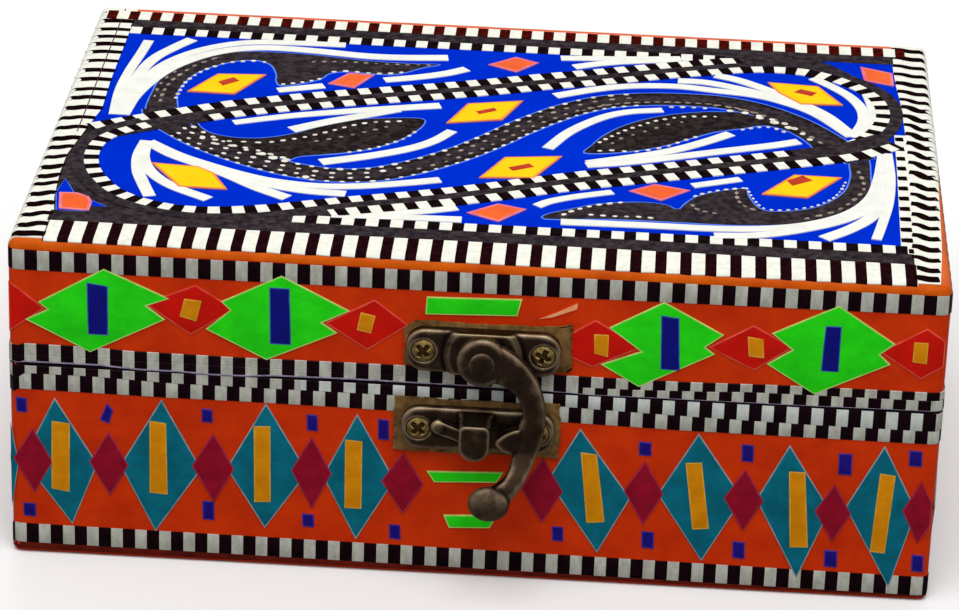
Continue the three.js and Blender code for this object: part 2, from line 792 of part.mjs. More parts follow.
// A hinge leaf about the hinge axis: X along the pin, Y away from the box. level is -1 below, 1 above.
function hingeLeaf(level) {
  const half = hingeWidth / 2;
  const middle = middleKnuckleLength / 2;
  const back = -knuckleRadius;
  const plate = slab({
    width: hingeWidth,
    depth: leafHeight,
    corner: leafCornerRadius,
    steps: smallCornerSteps,
    low: 0,
    high: leafThickness,
  });
  plate.translate(0, (-level * leafHeight) / 2, 0).rotateX(-Math.PI / 2).translate(0, back, 0);
  const gap = middle + knuckleGap;
  const own = level > 0 ? [[-middle, middle]] : [[-half, -gap], [gap, half]];
  const other = level > 0 ? [[-half - 1, -middle], [middle, half + 1]] : [[-gap, gap]];
  const knuckles = own.map(([low, high]) => rod(knuckleRadius, low, high, 18));
  const reliefs = other.map(([low, high]) => rod(knuckleRadius + knuckleGap, low, high, 18));
  const bore = rod(hingePinRadius + hingePinClearance, -half - 1, half + 1, 14);
  const holes = [-1, 1].map((end) =>
    screwHole(hingeScrewScale)
      .rotateX(-Math.PI / 2)
      .translate((end * hingeScrewSpacing) / 2, back + leafThickness, level * hingeScrewDrop),
  );
  return cut(join([cut(plate, reliefs), ...knuckles]), [bore, ...holes]);
}

function hingePin() {
  const half = hingeWidth / 2;
  const outer = half + knuckleGap;
  return join([
    rod(hingePinRadius, -outer, outer, 14),
    rod(hingePinHeadRadius, -outer - hingePinHeadLength, -outer, 14),
    rod(hingePinHeadRadius, outer, outer + hingePinHeadLength, 14),
  ]);
}

const keepsakeBox = new THREE.Group();
keepsakeBox.name = "keepsake_box";

function add(parent, name, geometry, material) {
  const mesh = new THREE.Mesh(geometry, material);
  mesh.name = name;
  parent.add(mesh);
  return mesh;
}

function addBase(parent) {
  const inset = woodInset;
  const board = slab({
    width: boxWidth - 2 * inset,
    depth: boxDepth - 2 * inset,
    corner: woodCorner,
    low: 0,
    high: bottomThickness,
    lowRound: bottomEdgeRadius,
  });
  add(parent, "base_bottom_board", board, materials.wood);
  const frontWall = cut(longWall(-1, bottomThickness, baseHeight), frontHoles(keeperScrews));
  const backWall = cut(longWall(1, bottomThickness, baseHeight), backHoles(hingeScrews(-1)));
  add(parent, "base_front_wall", frontWall, materials.wood);
  add(parent, "base_back_wall", backWall, materials.wood);
  add(parent, "base_left_wall", shortWall(-1, bottomThickness, baseHeight), materials.wood);
  add(parent, "base_right_wall", shortWall(1, bottomThickness, baseHeight), materials.wood);
  const floorTop = bottomThickness + liningThickness;
  const liningWidth = insideWidth - 2 * liningGap;
  const liningDepth = insideDepth - 2 * liningGap;
  const liningPlan = {
    width: liningWidth,
    depth: liningDepth,
    corner: liningCorner,
    steps: smallCornerSteps,
  };
  const floor = slab({ ...liningPlan, low: bottomThickness, high: floorTop });
  add(parent, "base_floor_lining", floor, materials.velvet);
  const wallLow = floorTop + liningGap;
  const wallHigh = baseHeight - liningRimDrop;
  const wallLining = ringBand(liningWidth, liningDepth, liningCorner, liningThickness, wallLow, wallHigh);
  add(parent, "base_wall_lining", wallLining, materials.velvet);
  const film = cut(baseFilm(), [...frontHoles(keeperScrews), ...backHoles(hingeScrews(-1))]);
  add(parent, "base_side_film", film, materials.orangeFilm);
  add(parent, "base_upper_check_tape", checkTape(baseUpperTapeTop - tapeWidth), materials.checkTape);
  add(parent, "base_lower_check_tape", checkTape(baseLowerTapeRise), materials.checkTape);
}

function addLid(parent) {
  const boardLow = woodHeight - topThickness;
  const board = slab({
    width: woodWidth,
    depth: woodDepth,
    corner: woodCorner,
    low: boardLow,
    high: woodHeight,
    highRound: topEdgeRadius - woodInset,
  });
  add(parent, "lid_top_board", board, materials.wood);
  const frontWall = cut(longWall(-1, lidBottom, boardLow), frontHoles(latchScrews));
  const backWall = cut(longWall(1, lidBottom, boardLow), backHoles(hingeScrews(1)));
  add(parent, "lid_front_wall", frontWall, materials.wood);
  add(parent, "lid_back_wall", backWall, materials.wood);
  add(parent, "lid_left_wall", shortWall(-1, lidBottom, boardLow), materials.wood);
  add(parent, "lid_right_wall", shortWall(1, lidBottom, boardLow), materials.wood);
  const liningWidth = insideWidth - 2 * liningGap;
  const liningDepth = insideDepth - 2 * liningGap;
  const ceilingLow = boardLow - liningThickness;
  const liningPlan = {
    width: liningWidth,
    depth: liningDepth,
    corner: liningCorner,
    steps: smallCornerSteps,
  };
  const ceiling = slab({ ...liningPlan, low: ceilingLow, high: boardLow });
  add(parent, "lid_ceiling_lining", ceiling, materials.velvet);
  const wallLow = lidBottom + liningRimDrop;
  const wallHigh = ceilingLow - liningGap;
  const wallLining = ringBand(liningWidth, liningDepth, liningCorner, liningThickness, wallLow, wallHigh);
  add(parent, "lid_wall_lining", wallLining, materials.velvet);
  const film = cut(lidFilm(), [...frontHoles(latchScrews), ...backHoles(hingeScrews(1))]);
  add(parent, "lid_film", film, materials.orangeFilm);
  add(parent, "lid_upper_check_tape", checkTape(lidUpperTapeTop - tapeWidth), materials.checkTape);
  add(parent, "lid_lower_check_tape", checkTape(lidLowerTapeLow), materials.checkTape);
}

function addTopCovering(parent) {
  const left = topStrip(-borderHalfWidth, -innerHalfWidth, -borderHalfDepth, borderHalfDepth);
  const right = topStrip(innerHalfWidth, borderHalfWidth, -borderHalfDepth, borderHalfDepth);
  const front = topStrip(-innerHalfWidth, innerHalfWidth, -borderHalfDepth, frontBorderInner);
  const back = topStrip(-innerHalfWidth, innerHalfWidth, backBorderInner, borderHalfDepth);
  const ribbonFrontInner = frontBorderInner + edgeRibbonWidth;
  const ribbonBackInner = backBorderInner - edgeRibbonWidth;
  const frontRibbon = topStrip(-innerHalfWidth, innerHalfWidth, frontBorderInner, ribbonFrontInner);
  const backRibbon = topStrip(-innerHalfWidth, innerHalfWidth, ribbonBackInner, backBorderInner);
  add(parent, "top_left_border_tape", left, materials.checkTape);
  add(parent, "top_right_border_tape", right, materials.checkTape);
  add(parent, "top_front_border_tape", front, materials.checkTape);
  add(parent, "top_back_border_tape", back, materials.checkTape);
  add(parent, "top_front_ribbon", frontRibbon, materials.darkRibbon);
  add(parent, "top_back_ribbon", backRibbon, materials.darkRibbon);
  add(parent, "top_blue_panel", bluePanel(), materials.blueFilm);
}

// A group whose X is right, Y up and Z out of the front face, centred on a plate.
function frontFaceGroup(x, z) {
  const group = new THREE.Group();
  group.position.set(x, -boxDepth / 2, z);
  group.rotation.x = Math.PI / 2;
  return group;
}

function addScrewPair(parent, names, places, centreX) {
  places.forEach(({ x, face }, index) => {
    const mesh = add(parent, names[index], screw(1), materials.brass);
    mesh.position.set(x - centreX, 0, face);
  });
}

function addLatch(parent) {
  const upper = frontFaceGroup(latchX, latchZ);
  parent.add(upper);
  const patch = backingPatch(latchPatchWidth, latchPatchHeight, latchPatchShift, latchX, latchScrews);
  add(upper, "latch_backing_patch", patch, materials.khakiFilm);
  add(upper, "latch_plate", latchPlate(), materials.bronze);
  const rivet = add(upper, "latch_pivot_rivet", pivotRivet(), materials.bronze);
  rivet.position.y = -pivotDrop;
  const arm = add(upper, "latch_swing_arm", swingArm(), materials.bronze);
  arm.position.y = -pivotDrop;
  addScrewPair(upper, ["latch_screw_left", "latch_screw_right"], latchScrews, latchX);
}

function addKeeper(parent) {
  const lower = frontFaceGroup(keeperX, keeperZ);
  parent.add(lower);
  const patch = backingPatch(keeperPatchWidth, keeperPatchHeight, 0, keeperX, keeperScrews);
  add(lower, "keeper_backing_patch", patch, materials.khakiFilm);
  add(lower, "keeper_plate", keeperPlate(), materials.bronze);
  addScrewPair(lower, ["keeper_screw_left", "keeper_screw_right"], keeperScrews, keeperX);
}

function addHinge(parent, side) {
  const label = side < 0 ? "left" : "right";
  const hinge = new THREE.Group();
  hinge.position.set(side * hingeX, boxDepth / 2 + hingeAxisOffset, seamMiddle);
  parent.add(hinge);
  add(hinge, `hinge_${label}_base_leaf`, hingeLeaf(-1), materials.bronze);
  add(hinge, `hinge_${label}_lid_leaf`, hingeLeaf(1), materials.bronze);
  add(hinge, `hinge_${label}_pin`, hingePin(), materials.bronze);
  for (const [body, level] of [["base", -1], ["lid", 1]]) {
    for (const [end, offset] of [["inner", -side], ["outer", side]]) {
      const name = `hinge_${label}_${body}_screw_${end}`;
      const mesh = add(hinge, name, screw(hingeScrewScale), materials.brass);
      const faceY = leafThickness - knuckleRadius;
      mesh.position.set((offset * hingeScrewSpacing) / 2, faceY, level * hingeScrewDrop);
      mesh.rotation.x = -Math.PI / 2;
    }
  }
}

addBase(keepsakeBox);
addLid(keepsakeBox);
addTopCovering(keepsakeBox);
addLatch(keepsakeBox);
addKeeper(keepsakeBox);
addHinge(keepsakeBox, -1);
addHinge(keepsakeBox, 1);

export default keepsakeBox;
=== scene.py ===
import math

import bmesh
import bpy
import numpy as np
from mathutils import Matrix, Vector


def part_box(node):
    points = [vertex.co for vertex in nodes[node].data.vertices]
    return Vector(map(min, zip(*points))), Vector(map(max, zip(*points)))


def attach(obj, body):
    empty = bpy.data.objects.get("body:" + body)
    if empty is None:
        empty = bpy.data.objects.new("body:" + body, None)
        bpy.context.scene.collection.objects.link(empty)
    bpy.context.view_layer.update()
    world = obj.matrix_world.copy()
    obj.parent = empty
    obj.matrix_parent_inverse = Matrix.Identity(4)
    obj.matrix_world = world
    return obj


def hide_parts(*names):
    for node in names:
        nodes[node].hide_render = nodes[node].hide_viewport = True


# Looks of the film-covered keepsake box. Sizes are in millimetres until a mesh is made.
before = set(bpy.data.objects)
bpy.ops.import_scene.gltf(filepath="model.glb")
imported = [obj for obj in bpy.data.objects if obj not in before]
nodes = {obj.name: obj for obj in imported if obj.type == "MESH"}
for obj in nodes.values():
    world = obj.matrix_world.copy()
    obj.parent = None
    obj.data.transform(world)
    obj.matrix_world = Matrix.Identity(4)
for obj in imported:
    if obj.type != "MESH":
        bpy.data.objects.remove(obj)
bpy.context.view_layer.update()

box = {
    "width": 178.0, "depth": 127.0, "height": 66.5, "corner": 1.8,
    "seamLow": 40.8, "seamHigh": 41.2,  # top of the base's film and bottom of the lid's
    "patternShift": -1.25,  # the top's pattern lies a little forward of the middle
}
halfX, halfY = box["width"] / 2, box["depth"] / 2


# Small tools for materials

def hexToLinear(text):
    # each sRGB channel c becomes c/12.92 when dark, else ((c + 0.055) / 1.055) to the power 2.4
    values = [int(text[i : i + 2], 16) / 255 for i in (1, 3, 5)]
    return (*[v / 12.92 if v <= 0.04045 else ((v + 0.055) / 1.055) ** 2.4 for v in values], 1.0)


def addNode(tree, kind, inputs=None, **settings):
    # one node: its settings, then each input either linked to another socket or given a value
    node = tree.nodes.new("ShaderNode" + kind)
    for key, value in settings.items():
        setattr(node, key, value)
    for key, value in (inputs or {}).items():
        socket = node.inputs[key]
        if isinstance(value, bpy.types.NodeSocket):
            tree.links.new(value, socket)
        else:
            socket.default_value = value
    return node


def newMaterial(name):
    # an empty node material, its tree, and the piece's own coordinates in metres
    material = bpy.data.materials.new(name)
    material.use_nodes = True
    tree = material.node_tree
    tree.nodes.clear()
    return material, tree, addNode(tree, "TexCoord").outputs["Object"]


def finishMaterial(tree, inputs):
    # the surface itself: one principled shader with these inputs, led to the material's output
    shader = addNode(tree, "BsdfPrincipled", inputs)
    addNode(tree, "OutputMaterial", {"Surface": shader.outputs[0]})


def noiseAt(tree, place, sizeMm, detail=3.0, rough=0.55, stretch=None):
    # noise whose blobs are about sizeMm wide; stretch squeezes the pattern along each axis
    if stretch:
        place = addNode(tree, "Mapping", {"Vector": place, "Scale": stretch}).outputs[0]
    inputs = {"Vector": place, "Scale": 1000.0 / sizeMm, "Detail": detail, "Roughness": rough}
    return addNode(tree, "TexNoise", inputs).outputs[0]


def rampBetween(tree, factor, stops):
    # colours at their positions, straight lines between them
    ramp = addNode(tree, "ValToRGB", {"Fac": factor})
    elements = ramp.color_ramp.elements
    while len(elements) < len(stops):
        elements.new(0.5)
    for element, (position, colour) in zip(elements, stops):
        element.position = position
        element.color = hexToLinear(colour)
    return ramp.outputs["Color"]


# Small tools for meshes

def gridFaces(rows, columns, rowsClosed=False, columnsClosed=False):
    # quads between neighbouring points of a rows by columns grid, wrapped round where it is closed
    r = np.arange(rows if rowsClosed else rows - 1)
    c = np.arange(columns if columnsClosed else columns - 1)
    r, c = np.meshgrid(r, c, indexing="ij")
    nextR, nextC = (r + 1) % rows, (c + 1) % columns
    quads = [r * columns + c, r * columns + nextC, nextR * columns + nextC, nextR * columns + c]
    return np.stack(quads, -1).reshape(-1, 4)


def facingOut(points, quads, loops):
    # the sum over faces of p0 . (p1 x p2) / 6 is the enclosed volume; negative means inside out
    a, b, c, d = (points[quads[:, i]] for i in range(4))
    volume = np.einsum("ij,ij->", a, np.cross(b, c)) + np.einsum("ij,ij->", a, np.cross(c, d))
    for loop in loops:
        p = points[loop]
        volume += np.einsum("j,ij->", p[0], np.cross(p[1:-1], p[2:]))
    if volume < 0:
        return quads[:, ::-1], [loop[::-1] for loop in loops]
    return quads, loops


def closedPart(points, quads, quadMaterial, loops=(), loopMaterial=()):
    # quads and end loops of one closed surface, turned outwards, with a material index for each
    points = np.asarray(points, float)
    quads, loops = facingOut(points, np.asarray(quads).reshape(-1, 4), [np.asarray(l) for l in loops])
    material = np.broadcast_to(np.asarray(quadMaterial), (len(quads),))
    return points, [list(map(int, q)) for q in quads] + [list(map(int, l)) for l in loops], [*material, *loopMaterial]


def joinedMesh(name, parts, sharpAngle=35):
    # closed parts one after another in one mesh, in metres
    points, faces, indices, start = [], [], [], 0
    for partPoints, partFaces, partMaterial in parts:
        points.append(partPoints)
        faces += [[i + start for i in face] for face in partFaces]
        indices += [int(m) for m in partMaterial]
        start += len(partPoints)
    mesh = bpy.data.meshes.new(name)
    mesh.from_pydata(np.concatenate(points) * 0.001, [], faces)
    mesh.polygons.foreach_set("material_index", indices)
    mesh.polygons.foreach_set("use_smooth", [True] * len(faces))
    mesh.set_sharp_from_angle(angle=math.radians(sharpAngle))
    mesh.update()
    return mesh


def addPiece(name, mesh, body, replaces=()):
    # the mesh as a piece that rides on a body and stands for the CAD nodes it replaces
    piece = bpy.data.objects.new(name, mesh)
    bpy.context.scene.collection.objects.link(piece)
    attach(piece, body)
    if replaces:
        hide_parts(*replaces)
    return piece


def makePiece(name, body, parts, materials, replaces=(), sharpAngle=35):
    # closed parts joined to one piece; a new slot resets the faces' indices, so they are put back after it
    mesh = joinedMesh(name, parts, sharpAngle)
    indices = np.zeros(len(mesh.polygons), int)
    mesh.polygons.foreach_get("material_index", indices)
    for material in materials:
        mesh.materials.append(material)
    mesh.polygons.foreach_set("material_index", indices)
    return addPiece(name, mesh, body, replaces)


faces = {  # each face of the box: its origin, the directions of a (along), b (up) and h (out)
    "front": ((0, -halfY, 0), (1, 0, 0), (0, 0, 1), (0, -1, 0)),
    "right": ((halfX, 0, 0), (0, 1, 0), (0, 0, 1), (1, 0, 0)),
    "back": ((0, halfY, 0), (-1, 0, 0), (0, 0, 1), (0, 1, 0)),
    "left": ((-halfX, 0, 0), (0, -1, 0), (0, 0, 1), (-1, 0, 0)),
    "top": ((0, box["patternShift"], box["height"]), (1, 0, 0), (0, 1, 0), (0, 0, 1)),
}


def onFace(side, a, b, h):
    # origin + a * along + b * up + h * out, for arrays of a, b and h
    origin, along, up, out = (np.array(v, float) for v in faces[side])
    a, b, h = np.broadcast_arrays(np.asarray(a, float), np.asarray(b, float), np.asarray(h, float))
    return origin + a[..., None] * along + b[..., None] * up + h[..., None] * out


def insetOutline(outline, distance):
    # each corner moves inwards along the sum of its two edge normals, divided by 1 + their dot product
    edge = np.roll(outline, -1, 0) - outline
    edge /= np.linalg.norm(edge, axis=1, keepdims=True)
    normal = np.stack([-edge[:, 1], edge[:, 0]], -1)
    before = np.roll(normal, 1, 0)
    spread = 1 + np.einsum("ij,ij->i", normal, before)
    return outline + distance * (normal + before) / np.maximum(spread, 0.35)[:, None]


def cutPiece(side, outline, low, high, fill, edge, rim=0.28):
    # a piece cut from film: its outline at low and high, a pale cut rim, and the flat inside the rim
    outline = np.asarray(outline, float)
    x, y = outline[:, 0], outline[:, 1]
    if np.sum(x * np.roll(y, -1) - np.roll(x, -1) * y) < 0:
        outline = outline[::-1]
    n = len(outline)
    rings = [outline, outline, insetOutline(outline, rim)]
    heights = [low, high - 0.03, high]
    points = np.concatenate([onFace(side, r[:, 0], r[:, 1], h) for r, h in zip(rings, heights)])
    quads = gridFaces(3, n, columnsClosed=True)
    loops = [np.arange(n)[::-1], np.arange(2 * n, 3 * n)]
    return closedPart(points, quads, edge, loops, [edge, fill])


def catmullRom(points, steps=24, closed=False):
    # between points b and c the curve is half of 2b + (c - a)t + (2a - 5b + 4c - d)t^2 + (3b - a - 3c + d)t^3
    p = np.asarray(points, float)
    q = np.concatenate([p[-1:], p, p[:2]] if closed else [2 * p[:1] - p[1:2], p, 2 * p[-1:] - p[-2:-1]])
    t = np.linspace(0, 1, steps, endpoint=False)[None, :, None]
    a, b, c, d = (q[i : len(q) - 3 + i][:, None, :] for i in range(4))
    dense = 0.5 * (2 * b + (c - a) * t + (2 * a - 5 * b + 4 * c - d) * t**2 + (3 * b - a - 3 * c + d) * t**3)
    return np.concatenate([dense.reshape(-1, p.shape[1]), q[-2:-1]])


def smoothPath(points, step, closed=False):
    # the curve through the points at even steps of arc length, or at the stations asked for, with its normals
    dense = catmullRom(points, closed=closed)
    length = np.concatenate([[0], np.cumsum(np.linalg.norm(np.diff(dense, axis=0), axis=1))])
    stations = step if np.ndim(step) else np.linspace(0, length[-1], max(int(round(length[-1] / step)), 2) + 1)
    stations = np.clip(stations, 0, length[-1])
    at = lambda s: np.stack([np.interp(s, length, dense[:, i]) for i in range(2)], -1)
    along = at(np.minimum(stations + 0.4, length[-1])) - at(np.maximum(stations - 0.4, 0))
    tangent = along / np.linalg.norm(along, axis=1, keepdims=True)
    return stations, at(stations), np.stack([-tangent[:, 1], tangent[:, 0]], -1)


def lengthAt(points, spot):
    # arc length of the curve's point nearest to a spot
    stations, centre, _ = smoothPath(points, 0.2)
    return stations[np.argmin(np.linalg.norm(centre - np.array(spot), axis=1))]


def pathLength(points):
    # arc length of the whole curve
    return smoothPath(points, 1.0)[0][-1]


def flatRibbon(points, stations, offsets, low, high, material, lift=None):
    # at each station the columns stand at their offsets along the path's normal, the outer two down at low
    stations, centre, normal = smoothPath(points, stations)
    offsets = np.broadcast_to(np.asarray(offsets, float), (len(centre), np.shape(offsets)[-1]))
    across = np.concatenate([offsets[:, :1], offsets, offsets[:, -1:]], 1)
    place = centre[:, None, :] + normal[:, None, :] * across[:, :, None]
    height = np.array([low, *[high] * offsets.shape[1], low])[None, :]
    if lift:
        height = height + lift(place[..., 0], place[..., 1])
    points3 = onFace("top", place[..., 0], place[..., 1], height)
    rows, columns = points3.shape[:2]
    quads = gridFaces(rows, columns, columnsClosed=True)
    material = np.broadcast_to(material, (rows - 1, columns - 3))
    body = np.concatenate([material[:, :1], material, material[:, -1:], material[:, :1]], 1)
    index = np.arange(columns)
    loops = [index[::-1], (rows - 1) * columns + index]
    return closedPart(points3.reshape(-1, 3), quads, body.reshape(-1), loops, [body[0, 1], body[-1, 1]])


def cutStrip(points, startWidth, endWidth, low, high, fill, edge, rim=0.1):
    # a strip cut from film, its width going evenly from startWidth to endWidth
    length = pathLength(points)
    stations = np.linspace(0, length, max(int(length / 1.1), 4))
    half = (startWidth + (endWidth - startWidth) * stations / length)[:, None] / 2
    offsets = np.concatenate([-half, -half + rim, half - rim, half], 1)
    return flatRibbon(points, stations, offsets, low, high, [edge, fill, edge])


def dotRow(points, offset, pitch, radius, low, high, material, long):
    # small six-sided discs at even steps of arc length along a path, shifted sideways by offset, uneven in size
    uneven = 0.25
    _, centre, normal = smoothPath(points, np.arange(pitch / 4, pathLength(points), pitch))
    order = np.arange(len(centre))
    size = radius * (1 + uneven * np.sin(order * 2.4) * np.cos(order * 0.7))[:, None, None]
    centre = centre + normal * (offset + 0.15 * uneven * np.sin(order * 1.9))[:, None]
    tangent = np.stack([normal[:, 1], -normal[:, 0]], -1)
    angle = (np.arange(6) * math.pi / 3)[None, :, None]
    disc = tangent[:, None] * long * np.cos(angle) + normal[:, None] * np.sin(angle)
    ring = centre[:, None] + size * disc
    points3 = np.concatenate([onFace("top", ring[..., 0], ring[..., 1], h) for h in (low, high)], 1).reshape(-1, 3)
    quads = (gridFaces(2, 6, columnsClosed=True)[None] + 12 * order[:, None, None]).reshape(-1, 4)
    ends = [12 * k + np.arange(6)[::-1] for k in order] + [12 * k + 6 + np.arange(6) for k in order]
    return closedPart(points3, quads, material, ends, [material] * len(ends))


# Materials

def filmMaterial(name, colour, shade, roughness=0.34, specular=0.12, mottle=6.0, crease=0.05, grain=0.02):
    # calendered PVC film, pressed on by hand: even colour, a soft gloss, and shallow dents and wrinkles under it
    material, tree, place = newMaterial(name)
    blotch = noiseAt(tree, place, mottle, 4.0, 0.6)
    dents = noiseAt(tree, place, mottle * 1.3, 2.0, 0.5, stretch=(0.6, 0.6, 1.5))
    fine = noiseAt(tree, place, 0.6, 2.0, 0.5)
    bump = None
    for height, depth in ((dents, crease), (fine, grain)):
        inputs = {"Height": height, "Strength": 1.0, "Distance": depth * 0.001}
        bump = addNode(tree, "Bump", {**inputs, "Normal": bump} if bump else inputs).outputs[0]
    colours = rampBetween(tree, blotch, [(0.32, shade), (0.66, colour)])
    inputs = {"Base Color": colours, "Roughness": roughness, "Specular IOR Level": specular, "Normal": bump}
    finishMaterial(tree, inputs)
    return material


filmLooks = {  # name, colour, its shade, roughness, specular level, mottling's width and dents' depth in mm
    "orange": ("pvcFilmOrange", "#E43C04", "#CC2E02", 0.3, 0.1, 9.0, 0.35),
    # the rim's lighter, yellower orange is painted light: the same film where it turns over the top edge and faces up
    "rimOrangeLit": ("pvcFilmOrangeRimPaintedLight", "#E0640C", "#C84E06", 0.45, 0.05, 7.0, 0.25),
    # the foot's dark red is painted shade: the orange film where it turns under the bottom edge
    "footShadeRed": ("pvcFilmOrangePaintedShade", "#6E1E10", "#4A120C", 0.5, 0.05, 4.0, 0.25),
    # a pale orange sliver where the film lifts: its pale colour is a painted highlight
    "glare": ("pvcFilmOrangePaintedGlare", "#FFC090", "#FF9450", 0.14, 0.3, 5.0, 0.1),
    "green": ("pvcFilmFluorescentGreen", "#2CF418", "#22DC14", 0.35, 0.1, 5.0, 0.25),
    "greenEdge": ("cutEdgeGreen", "#D6F08C", "#A8D860", 0.5, 0.1, 3.0),
    "blueBar": ("pvcFilmNavy", "#10148A", "#0C1074", 0.35, 0.08, 4.0, 0.2),
    "blueEdge": ("cutEdgeNavy", "#4C78B8", "#2C4898", 0.5, 0.1, 3.0),
    "red": ("pvcFilmRed", "#E01404", "#C81002", 0.3, 0.12, 5.0, 0.25),
    "redEdge": ("cutEdgeRed", "#F06A58", "#E04030", 0.5, 0.1, 3.0),
    "amber": ("pvcFilmAmber", "#EC9806", "#D88600", 0.35, 0.1, 4.0, 0.15),
    "amberEdge": ("cutEdgeAmber", "#F4BC48", "#D08C18", 0.5, 0.1, 3.0),
    "teal": ("pvcFilmTeal", "#08778E", "#046276", 0.35, 0.08, 5.0, 0.25),
    "tealEdge": ("cutEdgeTeal", "#A8B0B4", "#70909A", 0.5, 0.1, 3.0),
    "maroon": ("pvcFilmMaroon", "#A20E2C", "#860824", 0.35, 0.1, 4.0, 0.2),
    "maroonEdge": ("cutEdgeMaroon", "#B03458", "#94203C", 0.5, 0.1, 3.0),
    "chip": ("pvcFilmViolet", "#201284", "#180C70", 0.35, 0.1, 3.0, 0.15),
    "chipEdge": ("cutEdgeViolet", "#4C3CA0", "#342488", 0.5, 0.1, 3.0),
    "field": ("pvcFilmBlueField", "#0030D0", "#002AC4", 0.5, 0.0, 12.0, 0.2),
    "fieldLine": ("cutEdgeBlueField", "#6C98FF", "#4C78F4", 0.5, 0.0, 6.0),
    "white": ("pvcFilmWhite", "#F4F4EA", "#E6E6DC", 0.3, 0.02, 4.0, 0.1),
    "whiteEdge": ("cutEdgeWhite", "#E8ECEC", "#DCE0E4", 0.5, 0.0, 4.0),
    "yellow": ("pvcFilmYellow", "#F8D41E", "#F4CC14", 0.3, 0.0, 6.0, 0.1),
    "yellowEdge": ("cutEdgeYellow", "#F89A4C", "#F07858", 0.5, 0.0, 4.0),
    "brightOrange": ("pvcFilmBrightOrange", "#F4641C", "#E85614", 0.3, 0.01, 5.0, 0.15),
    "brightOrangeEdge": ("cutEdgeBrightOrange", "#F08890", "#D86890", 0.5, 0.0, 4.0),
    "rust": ("pvcFilmRust", "#C83408", "#A82404", 0.35, 0.01, 3.0, 0.1),
}
films = {key: filmMaterial(*look) for key, look in filmLooks.items()}


def checkMaterial(name, light, dark, low=0.35, high=0.7, streak=0.5, specular=0.0):
    # check tape is printed and slit by hand: its ink is blotchy, with streaks across the tape
    material, tree, place = newMaterial(name)
    blotch = noiseAt(tree, place, 1.6, 4.0, 0.65, stretch=(1.0, 1.0, streak))
    colours = rampBetween(tree, blotch, [(low, dark), (high, light)])
    bump = addNode(tree, "Bump", {"Height": noiseAt(tree, place, 2.2, 3.0), "Strength": 1.0, "Distance": 0.00008})
    inputs = {"Base Color": colours, "Roughness": 0.34, "Specular IOR Level": specular, "Normal": bump.outputs[0]}
    finishMaterial(tree, inputs)
    return material


checkLooks = {  # name, palest and darkest ink, the noise between which they blend, streak, specular level
    # the sides' tape white is a grey rather than the top tapes' white: painted shade on the sides
    "white": ("checkTapeWhite", "#D0D2C6", "#AEAEA2", 0.35, 0.7, 0.5, 0.06),
    # a paler copy of the tape's white: a painted highlight where the tape's top edge curls out to the light
    "whiteShining": ("tapeWhitePaintedHighlight", "#DCE2DC", "#C6CCC4", 0.35, 0.7, 0.5, 0.06),
    "black": ("checkTapeBlack", "#1A0610", "#0C0206", 0.35, 0.7, 0.5, 0.05),
    # a pale lilac line: the tape's cut edge, drawn lighter as a painted highlight on the lid's lower edge
    "seamLine": ("tapeCutEdgeLilacPaintedHighlight", "#B8B0C8", "#7C7490", 0.35, 0.7, 0.5, 0.05),
    "topWhite": ("borderTapeWhite", "#FAFAF0", "#E8E8DA"),
    "topBlack": ("borderTapeBlack", "#1C0C0C", "#0C0406"),
    "leafDark": ("ribbonInkBlackGrain", "#38302E", "#201A1C", 0.45, 0.6, 1.0),
    "barDark": ("borderTapeBarBlack", "#2A0E12", "#14060A"),
    "barRed": ("borderTapeBarRed", "#5A1208", "#2A0808"),
    "mottled": ("ribbonInkMottled", "#4A4144", "#262024", 0.4, 0.72, 1.0),
    "ribbonDark": ("ribbonInkDark", "#201418", "#0E0608", 0.35, 0.7, 1.0),
    "dotPale": ("ribbonDotPale", "#F4F0E4", "#C0B8AC", 0.3, 0.6, 1.0),
    "dotDull": ("ribbonDotDull", "#A89C8C", "#6A5A50", 0.3, 0.6, 1.0),
    "brownLine": ("borderTapeBrown", "#5C3A28", "#3A2018", 0.3, 0.6, 1.0),
}
checks = {key: checkMaterial(*look) for key, look in checkLooks.items()}


def woodMaterial():
    # sanded softwood board, unvarnished: pale brown with long grain and a dry, rough surface
    material, tree, place = newMaterial("softwoodSanded")
    rings = noiseAt(tree, place, 7.0, 5.0, 0.6, stretch=(0.12, 0.8, 1.0))
    fibres = noiseAt(tree, place, 0.8, 3.0, 0.6, stretch=(0.05, 1.0, 1.0))
    mixed = addNode(tree, "Math", {0: rings, 1: fibres}, operation="ADD").outputs[0]
    half = addNode(tree, "Math", {0: mixed, 1: 0.5}, operation="MULTIPLY").outputs[0]
    colours = rampBetween(tree, half, [(0.36, "#8E6236"), (0.52, "#B88A55"), (0.66, "#D0A671")])
    bump = addNode(tree, "Bump", {"Height": fibres, "Strength": 0.6, "Distance": 0.0001}).outputs[0]
    finishMaterial(tree, {"Base Color": colours, "Roughness": 0.72, "Specular IOR Level": 0.25, "Normal": bump})
    return material


def velvetMaterial():
    # flocked velvet lining: deep red pile that lights up at grazing angles and shows brushed patches
    material, tree, place = newMaterial("velvetFlocked")
    brushed = noiseAt(tree, place, 14.0, 3.0, 0.6)
    pile = noiseAt(tree, place, 0.5, 2.0, 0.7)
    bump = addNode(tree, "Bump", {"Height": pile, "Strength": 0.8, "Distance": 0.0003}).outputs[0]
    sheen = {"Sheen Weight": 0.6, "Sheen Roughness": 0.4, "Sheen Tint": hexToLinear("#E08090")}
    colours = rampBetween(tree, brushed, [(0.35, "#6E0A1C"), (0.65, "#94142C")])
    inputs = {"Base Color": colours, "Roughness": 0.95, "Specular IOR Level": 0.1, "Normal": bump, **sheen}
    finishMaterial(tree, inputs)
    return material


